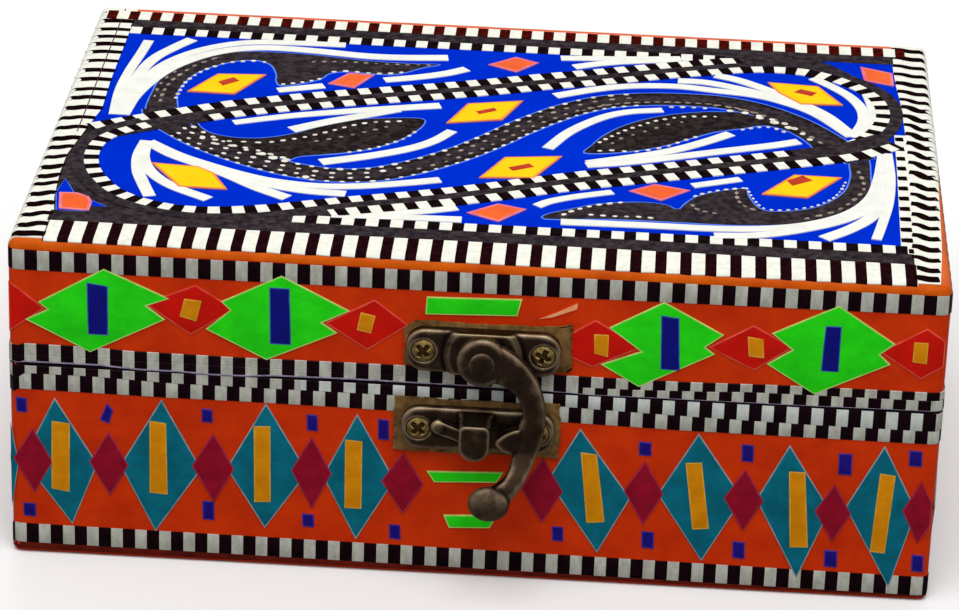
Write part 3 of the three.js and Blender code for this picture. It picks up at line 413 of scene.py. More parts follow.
def bronzeMaterial():
    # die-cast zinc plated in antique bronze: dark patina in the hollows, rubbed paler where edges stand out
    material, tree, place = newMaterial("zincCastAntiqueBronze")
    roughness = 0.42
    wear = addNode(tree, "Attribute", attribute_name="edgeWear").outputs["Fac"]
    cloud = noiseAt(tree, place, 3.5, 3.0, 0.5)
    patches = addNode(tree, "Math", {0: cloud, 1: 0.55, 2: 0.21}, operation="MULTIPLY_ADD").outputs[0]
    tone = addNode(tree, "Math", {0: wear, 1: 0.34, 2: patches}, operation="MULTIPLY_ADD").outputs[0]
    colours = rampBetween(tree, tone, [(0.3, "#1A120E"), (0.55, "#3A2C22"), (0.85, "#8C7A62")])
    grit = noiseAt(tree, place, 0.35, 3.0, 0.6)
    limits = {"From Min": 0.3, "From Max": 0.7, "To Min": roughness - 0.06, "To Max": roughness + 0.12}
    rough = addNode(tree, "MapRange", {"Value": grit, **limits}).outputs[0]
    bump = addNode(tree, "Bump", {"Height": grit, "Strength": 0.5, "Distance": 0.00003}).outputs[0]
    lumps = noiseAt(tree, place, 1.8, 2.0, 0.5)
    bump = addNode(tree, "Bump", {"Height": lumps, "Strength": 0.6, "Distance": 0.0001, "Normal": bump}).outputs[0]
    finishMaterial(tree, {"Base Color": colours, "Metallic": 1.0, "Roughness": rough, "Normal": bump})
    return material


def brassMaterial(name, dark, light, roughness):
    # zinc-yellow plated steel screw: warm metal, scratched by the driver; the recess's darker copy is painted shade
    material, tree, place = newMaterial(name)
    colours = rampBetween(tree, noiseAt(tree, place, 0.9, 4.0, 0.6), [(0.3, dark), (0.6, light)])
    finishMaterial(tree, {"Base Color": colours, "Metallic": 1.0, "Roughness": roughness})
    return material


def khakiMaterial():
    # kraft-backed gold film left under the plates: dull brown gold with a creased face
    material, tree, place = newMaterial("foilPaperKhaki")
    colours = rampBetween(tree, noiseAt(tree, place, 2.5, 5.0, 0.65), [(0.32, "#4E3418"), (0.66, "#8E6C3C")])
    creases = noiseAt(tree, place, 1.2, 3.0)
    bump = addNode(tree, "Bump", {"Height": creases, "Strength": 1.0, "Distance": 0.00025}).outputs[0]
    finishMaterial(tree, {"Base Color": colours, "Roughness": 0.5, "Specular IOR Level": 0.12, "Normal": bump})
    return material


wood, velvet, khaki, bronze = woodMaterial(), velvetMaterial(), khakiMaterial(), bronzeMaterial()
brass = brassMaterial("steelScrewBrassPlated", "#4C3C20", "#94794A", 0.4)
# the recess's darker copy is painted shade in the cross of each screw
recess = brassMaterial("steelScrewRecessPaintedShade", "#2A1E0E", "#4C3A1C", 0.6)
print("materials made")


# Films round the box

filmFacts = {
    "thickness": 0.25, "topRadius": 1.9, "topHem": 0.7, "foot": 1.8,
    "footTurn": (1.5, 1.2, 1.45),  # inset and height of its centre, and its radius
    "wave": 0.05, "rimWave": 0.12,  # depth of the film's waves on the walls and round the top edge
    "sideSteps": 110, "cornerSteps": 8,
}


def roundedRing(width, depth, radius):
    # points and outward normals of a rectangle with round corners, at even steps on each side
    centres = [(1, -1, -90), (1, 1, 0), (-1, 1, 90), (-1, -1, 180)]
    counts = [filmFacts["sideSteps"] * 2 // 3, filmFacts["sideSteps"]] * 2
    points, normals = [], []
    for (sx, sy, start), (nx, ny, _), count in zip(centres, centres[1:] + centres[:1], counts):
        angle = np.radians(start + 90 * np.arange(filmFacts["cornerSteps"] + 1) / filmFacts["cornerSteps"])
        normal = np.stack([np.cos(angle), np.sin(angle)], -1)
        centre = np.array([sx * (width / 2 - radius), sy * (depth / 2 - radius)])
        points.append(centre + normal * radius)
        normals.append(normal)
        nextCentre = np.array([nx * (width / 2 - radius), ny * (depth / 2 - radius)])
        share = np.linspace(0, 1, count + 1)[1:-1, None]
        between = centre + (nextCentre - centre) * share + normal[-1] * radius
        points.append(between)
        normals.append(np.repeat(normal[-1:], len(between), 0))
    return np.concatenate(points), np.concatenate(normals)


def wrappedShell(profile, inner, capTop, waveShare, rimFrom):
    # rings of the box outline at each (inset, z) of the profile, outside going up and inside coming back; the
    # outside is pressed in by up to its share of a wave, the mean of three sines of a place along x, y and z, and
    # has the second material from rimFrom on
    rings = []
    for k, (inset, z) in enumerate(profile + inner):
        width, depth = box["width"] - 2 * inset, box["depth"] - 2 * inset
        ring, normal = roundedRing(width, depth, max(box["corner"] - inset, 0.15))
        around = ring[:, 0] * 0.21 + ring[:, 1] * 0.17
        wave = np.sin(around * 2.1 + z * 0.31) + np.sin(around * 4.7 - z * 0.63 + 1.3)
        wave = (wave + np.sin(around * 0.83 + z * 0.19 + 0.7)) / 3
        depth = (waveShare[k] if k < len(profile) else 0) * (wave - 1) / 2
        rings.append(np.column_stack([ring + normal * depth[:, None], np.full(len(ring), z)]))
    rings = np.array(rings)
    rows, columns = rings.shape[:2]
    quads = gridFaces(rows, columns, rowsClosed=not capTop, columnsClosed=True)
    index = np.zeros((rows - 1 if capTop else rows, columns), int)
    index[rimFrom : len(profile)] = 1
    loops, loopMaterial = [], []
    if capTop:
        keep = np.ones(rows - 1, bool)
        keep[len(profile) - 1] = False
        quads = quads.reshape(rows - 1, columns, 4)[keep].reshape(-1, 4)
        close = gridFaces(2, columns, columnsClosed=True)
        ends = np.where(close < columns, close + (rows - 1) * columns, close - columns)
        quads = np.concatenate([quads, ends])
        index = np.concatenate([index[keep], np.zeros((1, columns), int)])
        ring = np.arange(columns)
        loops = [(len(profile) - 1) * columns + ring, (len(profile) * columns + ring)[::-1]]
        loopMaterial = [0, 0]
    return closedPart(rings.reshape(-1, 3), quads, index.reshape(-1), loops, loopMaterial)


def buildFilms():
    # the lid's film turns over the top edge in a quarter circle, the base's goes round the foot in part of one
    t, top, radius = filmFacts["thickness"], box["height"], filmFacts["topRadius"]
    # the second material, on the lid film's rounded top edge, is the lighter copy of the orange: painted light
    wraps = [films["orange"], films["rimOrangeLit"]]
    turn = np.linspace(0, math.pi / 2, 9)
    wall = [(0.0, z) for z in np.linspace(box["seamHigh"], top - radius, 14)]
    bend = [(radius * (1 - math.cos(a)), top - radius * (1 - math.sin(a))) for a in turn[1:]]
    hem = radius + filmFacts["topHem"]
    profile = wall + bend + [(hem, top)]
    inner = [(hem, top - t)]
    inner += [(t + (radius - t) * (1 - math.cos(a)), top - t - (radius - t) * (1 - math.sin(a))) for a in turn[::-1]]
    inner += [(t, box["seamHigh"])]
    waves = [0] + [filmFacts["wave"]] * (len(wall) - 1) + [filmFacts["rimWave"]] * len(bend) + [0]
    part = wrappedShell(profile, inner, True, waves, len(wall) - 1)
    makePiece("lid_film_wrap", "lid", [part], wraps, ["lid_film"], 60)

    centreInset, centreZ, outer = filmFacts["footTurn"]
    turn = np.radians(np.linspace(54, 0, 7))
    under = [(centreInset - outer * math.cos(a), centreZ - outer * math.sin(a)) for a in turn]
    wall = [(0.0, z) for z in np.linspace(filmFacts["foot"], box["seamLow"], 18)]
    profile = under + wall
    back = [(t, z) for z in (box["seamLow"], 20.0, centreZ + 0.4)]
    back += [(centreInset - (outer - t) * math.cos(a), centreZ - (outer - t) * math.sin(a)) for a in turn[::-1]]
    waves = [0] * len(under) + [0] + [filmFacts["wave"]] * (len(wall) - 2) + [0]
    part = wrappedShell(profile, back, False, waves, len(profile))
    makePiece("base_film_wrap", "base", [part], wraps, ["base_side_film"], 60)


buildFilms()
print("orange films wrapped")


# Check tapes round the four sides

tapeFacts = {
    "period": 4.70, "white": 2.27, "thickness": 0.15, "back": 0.02,
    "shiftedPast": 20,  # a row that is shifted on the front stays so for this far round the right corner
}


def perimeterPlace(s, reach):
    # s runs along the front from its middle to the right and on round the box, at reach from the film face:
    # straight stretches and quarter circles by turns, each pair turned by 90 degrees from the one before. Gives
    # the places and the length of the whole round
    radius = box["corner"]
    x, y, arc = halfX - radius, halfY - radius, radius * math.pi / 2
    starts = np.concatenate([[0], np.cumsum([x, arc, 2 * y, arc, 2 * x, arc, 2 * y, arc, x])])
    centres = np.array([(0, -y), (x, -y), (x, y), (-x, y), (-x, -y)])
    s = np.mod(s, starts[-1])
    place, normal = np.zeros((len(s), 2)), np.zeros((len(s), 2))
    for k in range(9):
        inside = (s >= starts[k]) & (s <= starts[k + 1])
        u = (s[inside] - starts[k])[:, None]
        straight = k % 2 == 0
        angle = math.radians(90 * (k // 2) - 90) + (0 * u if straight else u / radius)
        normal[inside] = np.concatenate([np.cos(angle), np.sin(angle)], 1)
        slide = np.concatenate([-np.sin(angle), np.cos(angle)], 1) * (u if straight else 0)
        place[inside] = centres[(k + 1) // 2] + normal[inside] * radius + slide
    return place + normal * reach, starts[-1]


def checkRow(
    firstWhite, lowZ, highZ, reach=tapeFacts["thickness"], shift=0.0, shiftFrom=0.0, inks=(0, 1), shining=None
):
    # one row of squares round the box: stations at square edges and between them, whites and blacks by turns; on
    # the front, squares beyond shiftFrom stand shifted, and whites in the shining stretch get a painted highlight
    total = perimeterPlace(np.zeros(1), 0)[1]
    count = round(total / tapeFacts["period"])
    starts = firstWhite - tapeFacts["white"] / 2 + total / count * np.arange(count)
    starts = starts + np.where((starts > shiftFrom) & (starts < halfX + tapeFacts["shiftedPast"]), shift, 0.0)
    edges = np.sort(np.concatenate([starts, starts + tapeFacts["white"]]))
    middles = (edges + np.append(edges[1:], edges[0] + total)) / 2
    stations = np.stack([edges, middles], 1).reshape(-1)
    low, high = lowZ(stations), highZ(stations)
    back = tapeFacts["back"]
    section = [(0.0, back), (0.0, reach * 0.6), (0.05, reach), (0.95, reach), (1.0, reach * 0.6), (1.0, back)]
    place = [perimeterPlace(stations, depth)[0] for _, depth in section]
    height = [low + (high - low) * share for share, _ in section]
    points = np.concatenate([np.stack(place, 1), np.stack(height, 1)[..., None]], 2)
    rows, columns = points.shape[:2]
    isWhite = (np.arange(rows) // 2) % 2 == 0
    index = np.where(isWhite, *inks)
    if shining:
        index[isWhite & (stations > shining[0]) & (stations < shining[1])] = 3
    quads = gridFaces(rows, columns, rowsClosed=True, columnsClosed=True)
    return closedPart(points.reshape(-1, 3), quads, np.repeat(index, columns))


def along(*pairs):
    # a height that changes along the front face by straight lines between (place, height) pairs
    places, heights = np.array(pairs).T
    return lambda s: np.interp(s, places, heights)


def buildTapes():
    # the heights at which each tape begins and ends were read off the front, every few centimetres
    inks = [checks["white"], checks["black"], checks["seamLine"], checks["whiteShining"]]
    low = along((-89, 60.3), (0, 60.35), (89, 60.8), (120, 60.35))
    high = along((-89, 64.35), (0, 64.45), (89, 64.7), (120, 64.45))
    makePiece("lid_upper_check", "lid", [checkRow(-82.1, low, high)], inks, ["lid_upper_check_tape"])
    edge = along(
        (-89, 41.1), (-72, 41.15), (-64, 40.65), (-56, 40.7), (-50, 40.4), (-44, 40.5), (-38, 40.9), (-24, 41.05),
        (0, 41.0), (18, 40.7), (22, 40.5), (43, 40.6), (62, 40.65), (80, 40.8), (120, 41.0),
    )
    split = along((-89, 42.6), (0, 42.3), (18, 41.9), (29, 41.95), (44, 42.4), (52, 42.8), (89, 42.95), (120, 42.5))
    line = lambda s: edge(s) + np.interp(s, [-90, -20, 8, 20], [0.3, 0.26, 0.16, 0.03])
    top = along(
        (-89, 45.0), (-73, 44.9), (-66, 44.5), (-45, 44.35), (-27, 44.5), (0, 44.6), (18, 44.2), (39, 44.15),
        (60, 44.6), (89, 44.7), (120, 44.5),
    )
    rows = [
        checkRow(-84.8, split, top, 0.22),
        checkRow(-84.8, edge, split, 0.23, -1.5, 19.0),
        # a pale line along the lid tape's wavy lower edge, widest on the left: its cut edge with a painted highlight
        checkRow(-84.8, edge, line, 0.3, inks=(2, 2)),
        # a black band just behind the lid's lower edge: painted shade in the gap of the seam
        checkRow(-84.8, lambda s: edge(s) + 0.02, lambda s: edge(s) + 0.7, 0.05, inks=(1, 1)),
    ]
    makePiece("lid_lower_check", "lid", rows, inks, ["lid_lower_check_tape"])
    fold = along(
        (-89, 38.7), (-73, 38.7), (-66, 38.45), (-58, 38.15), (-27, 38.15), (0, 38.1), (18, 37.6), (28, 37.3),
        (43, 36.95), (64, 36.6), (89, 36.5), (120, 37.8),
    )
    under = along(
        (-89, 35.35), (-73, 35.2), (-58, 35.05), (-45, 35.1), (-27, 35.0), (0, 34.6), (18, 34.35), (40, 33.95),
        (89, 33.8), (120, 34.6),
    )
    brim = along((-89, 40.3), (0, 40.3), (18, 40.15), (37, 40.1), (89, 40.2), (120, 40.4))
    rows = [
        # whites along most of the front take the paler copy: a painted highlight on the row's curled top edge
        checkRow(-84.8, fold, brim, 0.19, -0.35, 19.0, shining=(-34, 86)),
        checkRow(-85.9, under, lambda s: fold(s) + 0.05, 0.15, -0.5, 10.0),
        # a black band along the base's top edge, up under the lid: painted shade in the gap of the seam
        checkRow(-84.8, lambda s: brim(s) - 0.3, lambda s: 40.97 + 0 * s, 0.09, inks=(1, 1)),
    ]
    makePiece("base_upper_check", "base", rows, inks, ["base_upper_check_tape"])
    low = along((-89, 2.2), (0, 1.8), (89, 1.2), (120, 1.6))
    rows = [
        checkRow(-87.26, low, along((-89, 6.3), (0, 5.9), (89, 5.2), (120, 5.7))),
        # a dark red band round the foot below the tape: painted shade on the film's lower rounded edge
        checkRow(-87.26, lambda s: 0.75 + 0 * s, lambda s: low(s) + 0.1, 0.06, inks=(4, 4)),
    ]
    makePiece("base_lower_check", "base", rows, inks + [films["footShadeRed"]], ["base_lower_check_tape"])


buildTapes()
print("check tapes laid")


# Cut motifs on the sides

# corners of each shape on the front: its place from the middle and its height, as measured in the photo
lidFront = {
    "green": [
        [(-70.6, 61.4), (-58.2, 55.9), (-62.5, 54.2), (-59.0, 51.5),
         (-73.3, 43.9), (-85.7, 50.1), (-81.4, 52.4), (-83.2, 53.8)],
        [(-36.9, 61.9), (-23.9, 55.3), (-29.1, 52.6), (-26.2, 50.6),
         (-39.6, 44.2), (-51.2, 50.0), (-46.6, 54.2), (-48.3, 55.9)],
        [(35.3, 60.6), (46.8, 54.4), (43.5, 51.7), (45.3, 50.3),
         (31.3, 42.7), (23.9, 47.0), (31.4, 50.1), (25.2, 54.7)],
        [(68.0, 61.7), (79.0, 54.4), (76.3, 52.1), (78.4, 50.1),
         (64.5, 43.1), (55.2, 48.9), (59.8, 52.1), (55.8, 55.3)],
        [(-9.4, 59.1), (8.6, 59.6), (7.8, 56.1), (-9.6, 55.5)],
    ],
    "blueBar": [
        [(-73.9, 58.5), (-69.8, 57.9), (-69.8, 47.6), (-73.7, 47.6)],
        [(-39.2, 59.4), (-35.3, 59.4), (-34.9, 47.6), (-39.0, 47.6)],
        [(34.8, 57.9), (38.3, 57.5), (38.9, 46.6), (35.2, 46.6)],
        [(65.7, 57.5), (68.8, 57.5), (68.8, 48.0), (65.4, 48.0)],
    ],
    "red": [
        [(-88.8, 57.9), (-82.0, 52.6), (-88.8, 47.4)],
        [(-62.8, 54.7), (-53.2, 59.0), (-45.7, 54.4), (-54.1, 48.6)],
        [(-28.5, 52.6), (-19.2, 57.9), (-12.8, 53.0), (-20.4, 47.4)],
        [(16.0, 50.9), (17.2, 52.6), (22.6, 56.1), (31.3, 50.9), (22.4, 46.3), (17.0, 48.6)],
        [(44.1, 51.7), (52.3, 56.7), (59.8, 52.6), (52.9, 47.4)],
        [(76.3, 52.6), (84.8, 57.9), (88.4, 55.5), (88.4, 50.2), (84.3, 47.4)],
    ],
    # a thin sliver of lifted film, coloured pale as a painted highlight
    "glare": [[(11.5, 55.6), (15.0, 57.4), (19.3, 59.8), (19.2, 58.0), (14.5, 56.0)]],
    "amber": [
        [(-55.3, 56.1), (-52.0, 55.8), (-53.0, 51.5), (-56.2, 52.4)],
        [(-21.8, 55.2), (-19.0, 54.6), (-19.8, 50.9), (-22.5, 51.5)],
        [(22.4, 53.2), (25.2, 53.2), (25.2, 48.6), (22.6, 49.2)],
        [(51.3, 54.4), (54.3, 54.0), (54.6, 50.1), (51.7, 50.3)],
        [(82.5, 55.0), (85.2, 55.0), (85.2, 50.6), (82.5, 50.9)],
    ],
}
baseFront = {
    "teal": [
        [(-80.3, 33.8), (-72.1, 20.1), (-77.1, 6.7), (-86.7, 20.1)],
        [(-59.7, 34.6), (-52.0, 20.1), (-60.9, 6.1), (-67.7, 20.1)],
        [(-39.6, 35.0), (-31.4, 20.7), (-39.6, 8.1), (-47.1, 20.7)],
        [(-22.1, 33.8), (-14.6, 20.1), (-21.9, 6.7), (-28.5, 20.1)],
        [(20.6, 33.2), (30.8, 18.9), (24.9, 6.7), (14.8, 21.8)],
        [(43.2, 33.5), (52.3, 20.1), (45.1, 6.1), (36.0, 20.1)],
        [(60.6, 32.1), (69.1, 18.6), (63.6, 3.5), (54.9, 20.1)],
        [(78.6, 33.0), (85.6, 19.5), (81.4, 2.6), (72.0, 19.5)],
        [(-88.9, 28.0), (-87.4, 19.5), (-88.9, 10.0)],
    ],
    "amber": [
        [(-80.9, 28.8), (-77.4, 28.5), (-77.6, 13.7), (-81.1, 14.3)],
        [(-62.0, 30.0), (-58.8, 29.6), (-58.5, 14.3), (-62.0, 14.5)],
        [(-41.9, 30.0), (-38.7, 30.2), (-38.5, 13.9), (-41.7, 13.7)],
        [(-24.3, 28.2), (-21.0, 28.0), (-20.9, 13.5), (-24.2, 13.5)],
        [(20.9, 28.2), (24.0, 27.9), (26.1, 13.5), (22.6, 13.1)],
        [(41.0, 27.1), (44.1, 27.4), (46.2, 13.3), (43.0, 12.9)],
        [(60.8, 26.5), (63.9, 26.5), (65.4, 10.4), (61.9, 10.2)],
        [(78.1, 27.1), (81.1, 26.8), (80.2, 10.0), (77.3, 10.2)],
    ],
    "green": [
        [(-8.5, 22.4), (6.3, 23.0), (5.0, 20.7), (-7.0, 20.1)],
        [(-5.0, 13.1), (5.4, 13.7), (4.0, 10.8), (-3.9, 10.4)],
    ],
    "chip": [
        [(-70.2, 33.2), (-69.0, 31.7), (-69.8, 28.8), (-71.6, 29.6)],
    ],
}
maroonFront = [  # middle, half width, top and bottom of each diamond
    (-84.6, 3.8, 27.1, 13.1), (-69.9, 3.8, 27.1, 13.3), (-49.7, 4.1, 28.0, 13.1), (-30.7, 3.9, 28.5, 12.9),
    (-13.1, 4.1, 26.1, 12.9), (13.8, 4.0, 26.5, 12.5), (33.3, 3.8, 27.1, 13.3), (52.5, 3.8, 26.5, 13.1),
    (69.7, 3.5, 24.2, 11.9),
]
chipFront = [  # left, right, top and bottom of each chip
    (-87.8, -85.7, 33.5, 30.3), (-52.0, -49.9, 33.1, 30.2), (-31.8, -29.7, 33.1, 29.6), (-18.1, -16.0, 32.9, 28.5),
    (31.9, 34.3, 31.1, 28.1), (51.5, 53.8, 31.7, 28.0), (70.0, 72.6, 30.9, 26.3), (83.3, 85.8, 32.3, 28.9),
    (-86.7, -84.3, 10.8, 7.9), (-51.8, -49.5, 13.3, 9.2), (-32.4, -30.1, 11.7, 8.8), (-15.5, -13.3, 10.4, 7.2),
    (16.0, 18.2, 11.9, 8.7), (33.3, 35.7, 11.9, 8.2), (50.9, 53.3, 10.8, 7.1), (68.6, 71.1, 10.0, 6.3),
    (85.4, 87.7, 10.0, 6.3),
]
# height of each kind over the film: where two kinds overlap, the upper one stands higher
motifLevels = {
    "green": 0.26, "red": 0.17, "teal": 0.18, "chip": 0.16, "blueBar": 0.31, "amber": 0.25, "maroon": 0.23,
    "glare": 0.12,
}
motifPalette = ["green", "blueBar", "red", "amber", "teal", "maroon", "chip", "glare"]
edgePalette = ["greenEdge", "blueEdge", "redEdge", "amberEdge", "tealEdge", "maroonEdge", "chipEdge", "orange"]
motifMaterials = [films[k] for k in motifPalette + edgePalette]


def motifPart(side, kind, outline):
    # a shape of one kind, from just under the film's face up to its own level, so that overlaps lie in layers
    index = motifPalette.index(kind)
    return cutPiece(side, outline, -0.05, motifLevels[kind], index, index + len(motifPalette), rim=0.22)


def quadOf(low, high, top, bottom, lean=0.12):
    # a chip cut by eye: its corners are off square by the lean
    return [(low, top), (high, top - lean), (high + lean, bottom), (low + lean, bottom + lean)]


def diamondOf(x, half, top, bottom):
    # a diamond about x whose side corners are half its width away, one of them 0.3 mm too high
    middle = (top + bottom) / 2
    return [(x, top), (x + half, middle), (x + 0.2, bottom), (x - half, middle + 0.3)]


sideFacts = {
    "hingeX": 55.0, "hingeClear": 13.0, "lidMiddle": 53.0, "baseMiddle": 20.4,
    "lidPitch": 16.5, "basePitch": 9.5, "lidFirst": 20.5, "baseFirst": 13.0,  # first place beside the back's middle
}
sideShapes = {  # corners about the middle of the row, of the size of the front's
    "green": [(1, 8.4), (13, 2.4), (8.8, 0.2), (12, -2), (-1.5, -9), (-13, -3), (-9, 0), (-12, 1.6)],
    "bar": [(-1.9, 5.2), (1.9, 5.0), (2.0, -5.2), (-1.8, -5.3)],
    "red": [(-8.2, 0.4), (0.2, 4.9), (8.0, 0.0), (0.0, -4.9)],
    "patch": [(-1.4, 2.0), (1.4, 1.8), (1.3, -2.1), (-1.5, -1.8)],
    "teal": [(-0.2, 13.6), (7.8, 0.0), (0.4, -13.6), (-7.7, 0.2)],
    "stripe": [(-1.6, 7.4), (1.6, 7.2), (1.7, -7.3), (-1.6, -7.4)],
    "maroon": [(0.0, 7.0), (3.9, 0.0), (0.2, -7.0), (-3.9, 0.2)],
    "chip": [(-1.1, 1.6), (1.1, 1.5), (1.2, -1.6), (-1.1, -1.5)],
}


def plainSides(side):
    # the same cut shapes at an even pitch, each nudged a little as a hand places them
    jitter = np.random.default_rng({"right": 3, "back": 5, "left": 7}[side])
    long = side == "back"
    reach = (halfX if long else halfY) - 2.4
    limit = (halfX if long else halfY) - 0.6
    parts = {"lid": [], "base": []}
    green, bar, red, patch, teal, stripe, maroon, chip = (np.array(shape) for shape in sideShapes.values())

    def free(x, half):
        # no motif lies under a hinge
        return not long or abs(abs(x) - sideFacts["hingeX"]) > sideFacts["hingeClear"] + half

    def places(start, pitch):
        # from the middle outwards on both sides, the two kinds by turns
        first = start if long else pitch
        found = [] if long else [(0.0, 1)]
        for k in range(int((reach - first) // pitch) + 1):
            found += [(first + k * pitch, k % 2), (-first - k * pitch, k % 2)]
        return found

    def lay(body, kind, shape):
        # a shape that would run past the side's end is cut off there
        parts[body].append(motifPart(side, kind, np.clip(shape, (-limit, 0), (limit, 99))))

    for x, kind in places(sideFacts["lidFirst"], sideFacts["lidPitch"]):
        centre = np.array([x, sideFacts["lidMiddle"]]) + jitter.uniform(-0.4, 0.4, 2)
        if free(x, 12.4 if kind else 7.5):
            lay("lid", "green" if kind else "red", (green if kind else red) + centre)
            lay("lid", "blueBar" if kind else "amber", (bar if kind else patch) + centre)
    for x, kind in places(sideFacts["baseFirst"], sideFacts["basePitch"]):
        centre = np.array([x, sideFacts["baseMiddle"]]) + jitter.uniform(-0.3, 0.3, 2)
        if kind and free(x, 7.4):
            lay("base", "teal", teal + centre)
            lay("base", "amber", stripe + centre)
        if not kind and free(x, 4.3):
            lay("base", "maroon", maroon + centre)
            lay("base", "chip", chip + centre + (0, 10.6))
            lay("base", "chip", chip + centre - (0, 10.8))
    return parts


def buildMotifs():
    # the front shape by shape, the other sides by rule
    lid, base = ([motifPart("front", k, s) for k, shapes in f.items() for s in shapes] for f in (lidFront, baseFront))
    base += [motifPart("front", "maroon", diamondOf(*values)) for values in maroonFront]
    base += [motifPart("front", "maroon", [(86.1, 25.9), (88.4, 21.5), (88.4, 16.5), (86.3, 12.5), (82.9, 19.4)])]
    base += [motifPart("front", "chip", quadOf(*values)) for values in chipFront]
    for side in ("right", "back", "left"):
        more = plainSides(side)
        lid += more["lid"]
        base += more["base"]
    makePiece("lid_side_motifs", "lid", lid, motifMaterials)
    makePiece("base_side_motifs", "base", base, motifMaterials)


buildMotifs()
print("side motifs stuck on")


# Top covering

topFacts = {"period": 4.7, "white": 2.4, "rung": 1.98, "tapeMiddle": 85.5, "foot": 0.05}
topLayers = {  # bottom and top of each layer over the panel; no two tops are level, so that none shines through
    "field": (0.03, 0.13), "fieldRight": (0.03, 0.132), "darkCorner": (0.05, 0.165), "cornerBlue": (0.05, 0.18),
    "leaf": (0.08, 0.21), "scroll": (0.08, 0.25), "dot": (0.15, 0.262), "strip": (0.1, 0.29), "orange": (0.1, 0.345),
    "upperRibbon": (0.1, 0.355), "lowerRibbon": (0.1, 0.363), "yellow": (0.1, 0.4), "rust": (0.2, 0.43),
}
cornerBlue = [(-82.4, -32.0), (-79.6, -38.6), (-69.5, -47.4), (-82.0, -48.2), (-83.4, -39.0)]
darkCorner = [
    (-84.1, -4.4), (-84.1, -49.6), (-56, -49.6), (-58, -46), (-68, -43.5), (-76.5, -36), (-79.8, -26),
    (-80.6, -14), (-78.5, -6),
]
topPalette = [
    "field", "fieldLine", "white", "whiteEdge", "yellow", "yellowEdge", "brightOrange", "brightOrangeEdge", "rust",
]
topInk = [
    "topWhite", "topBlack", "leafDark", "barDark", "barRed", "mottled", "ribbonDark", "dotPale", "dotDull",
    "brownLine",
]
topMaterials = [films[k] for k in topPalette] + [checks[k] for k in topInk]
slotOf = {name: k for k, name in enumerate(topPalette + topInk)}

upperRibbon = [  # middle of its lower row of squares, from left to right and round the loop
    (-78.5, -10), (-70.5, -4.8), (-61.5, 0.6), (-52.9, 5.4), (-44.3, 9.2), (-35.4, 12.7), (-26.6, 15.8),
    (-17.5, 18.9), (-8.5, 22), (0.2, 25.3), (9.2, 29), (18.3, 32.4), (27.1, 35.9), (36, 39.5), (44.8, 42.6),
    (49.6, 44.2), (54.2, 45.1), (59, 45.2), (63.4, 44.4), (67.8, 42.3), (71.6, 39.3), (74.8, 35.7), (77.2, 31.3),
    (78.3, 26.3), (78.4, 21.1), (77.4, 16), (75.2, 10.7), (72.1, 6.2), (69, 3),
]
lowerRibbon = [  # middle of its upper row of squares, from right to left and round the other loop
    (77.5, 10.5), (70, 4.4), (61.9, 0.4), (53.4, -3.1), (44.5, -6.6), (35.6, -10.2), (26.7, -13.8), (17.7, -17.3),
    (8.8, -21.3), (0.2, -25.4), (-8.9, -29.4), (-17.5, -32.7), (-26.6, -35.9), (-35.6, -39.6), (-40.2, -41.5),
    (-44.6, -43), (-49.2, -44), (-54, -44.6), (-59, -44.3), (-63.7, -42.9), (-68.1, -40.7), (-72.1, -37.2),
    (-74.9, -33), (-77.2, -28.4), (-78.6, -23.4), (-79.1, -18.4), (-78.6, -13.4), (-76.8, -9.2), (-73.5, -5.7),
    (-70, -2.9),
]
scroll = [  # middle line of the wide ribbon between the two loops
    (73.2, -3), (70.6, 1.5), (67.4, 6.4), (62.8, 13), (58.6, 17.6), (53.5, 21.7), (48, 24.4), (42.4, 25.6),
    (34.3, 25.5), (27.3, 24.3), (20.9, 21.9), (14.6, 17.2), (9.3, 11.5), (4, 4.8), (0, -1.1), (-5.3, -8),
    (-10.5, -13.5), (-16.9, -19), (-23.4, -22.7), (-30.4, -23.9), (-37.8, -22.6), (-44.3, -19.8), (-51.2, -15.6),
    (-57.6, -10.6), (-63.4, -4.6), (-67.8, 1.3), (-69.2, 6.3),
]
# outlines of the four dark shapes, then of the pieces laid over them
hookLeft = [
    (-71.4, 4), (-71.8, 16), (-70.8, 24.2), (-67.7, 31.5), (-63.1, 37.2), (-57.3, 40.4), (-50, 41.4),
    (-40.2, 40.9), (-30, 39.2), (-22, 38.8), (-13.6, 39), (-17.5, 36.1), (-22.2, 31.9), (-27, 31.3), (-33, 31.8),
    (-36.4, 30.3), (-37.6, 27.5), (-40.6, 24.5), (-45.6, 22), (-47.2, 24.5), (-47.6, 28.4), (-49.2, 33.4),
    (-52, 35.6), (-56.5, 34.7), (-61.2, 30.5), (-64.3, 25.5), (-65.9, 19), (-66.2, 14.3), (-65.2, 7.5), (-64.5, 3),
]
hookRight = [
    (74.8, -1), (75.2, -10), (74.8, -19.2), (72.6, -25.2), (69.4, -30.6), (64.5, -34.2), (57.5, -37.2),
    (48, -38.7), (34, -38.7), (23, -39), (14.5, -40.2), (10.9, -40), (11.7, -37.6), (16, -34.6), (20.4, -31.8),
    (25.5, -30), (31, -29.2), (35, -30), (37, -31.9), (38.4, -28.6), (40.8, -24.8), (45, -21.8), (50.2, -19.8),
    (50.9, -23.4), (52.6, -28.6), (54.6, -30.4), (58.5, -30), (63.5, -27.6), (67.1, -23.4), (69.6, -18.2),
    (70.8, -11), (71, -3),
]
leafLeft = [
    (-15.4, 8.2), (-14.8, 4.8), (-16.3, 0.6), (-19.6, -5), (-24.5, -9.6), (-30, -12.6), (-38, -15.4), (-42, -18.5),
    (-54, -12.5), (-61.6, -4), (-60.9, 1.6), (-59.4, -2.2), (-56.5, -5.4), (-51, -6.9), (-45.5, -5.9), (-40.5, -3),
    (-36.4, 0.6), (-30, 5.4), (-22, 7.7),
]
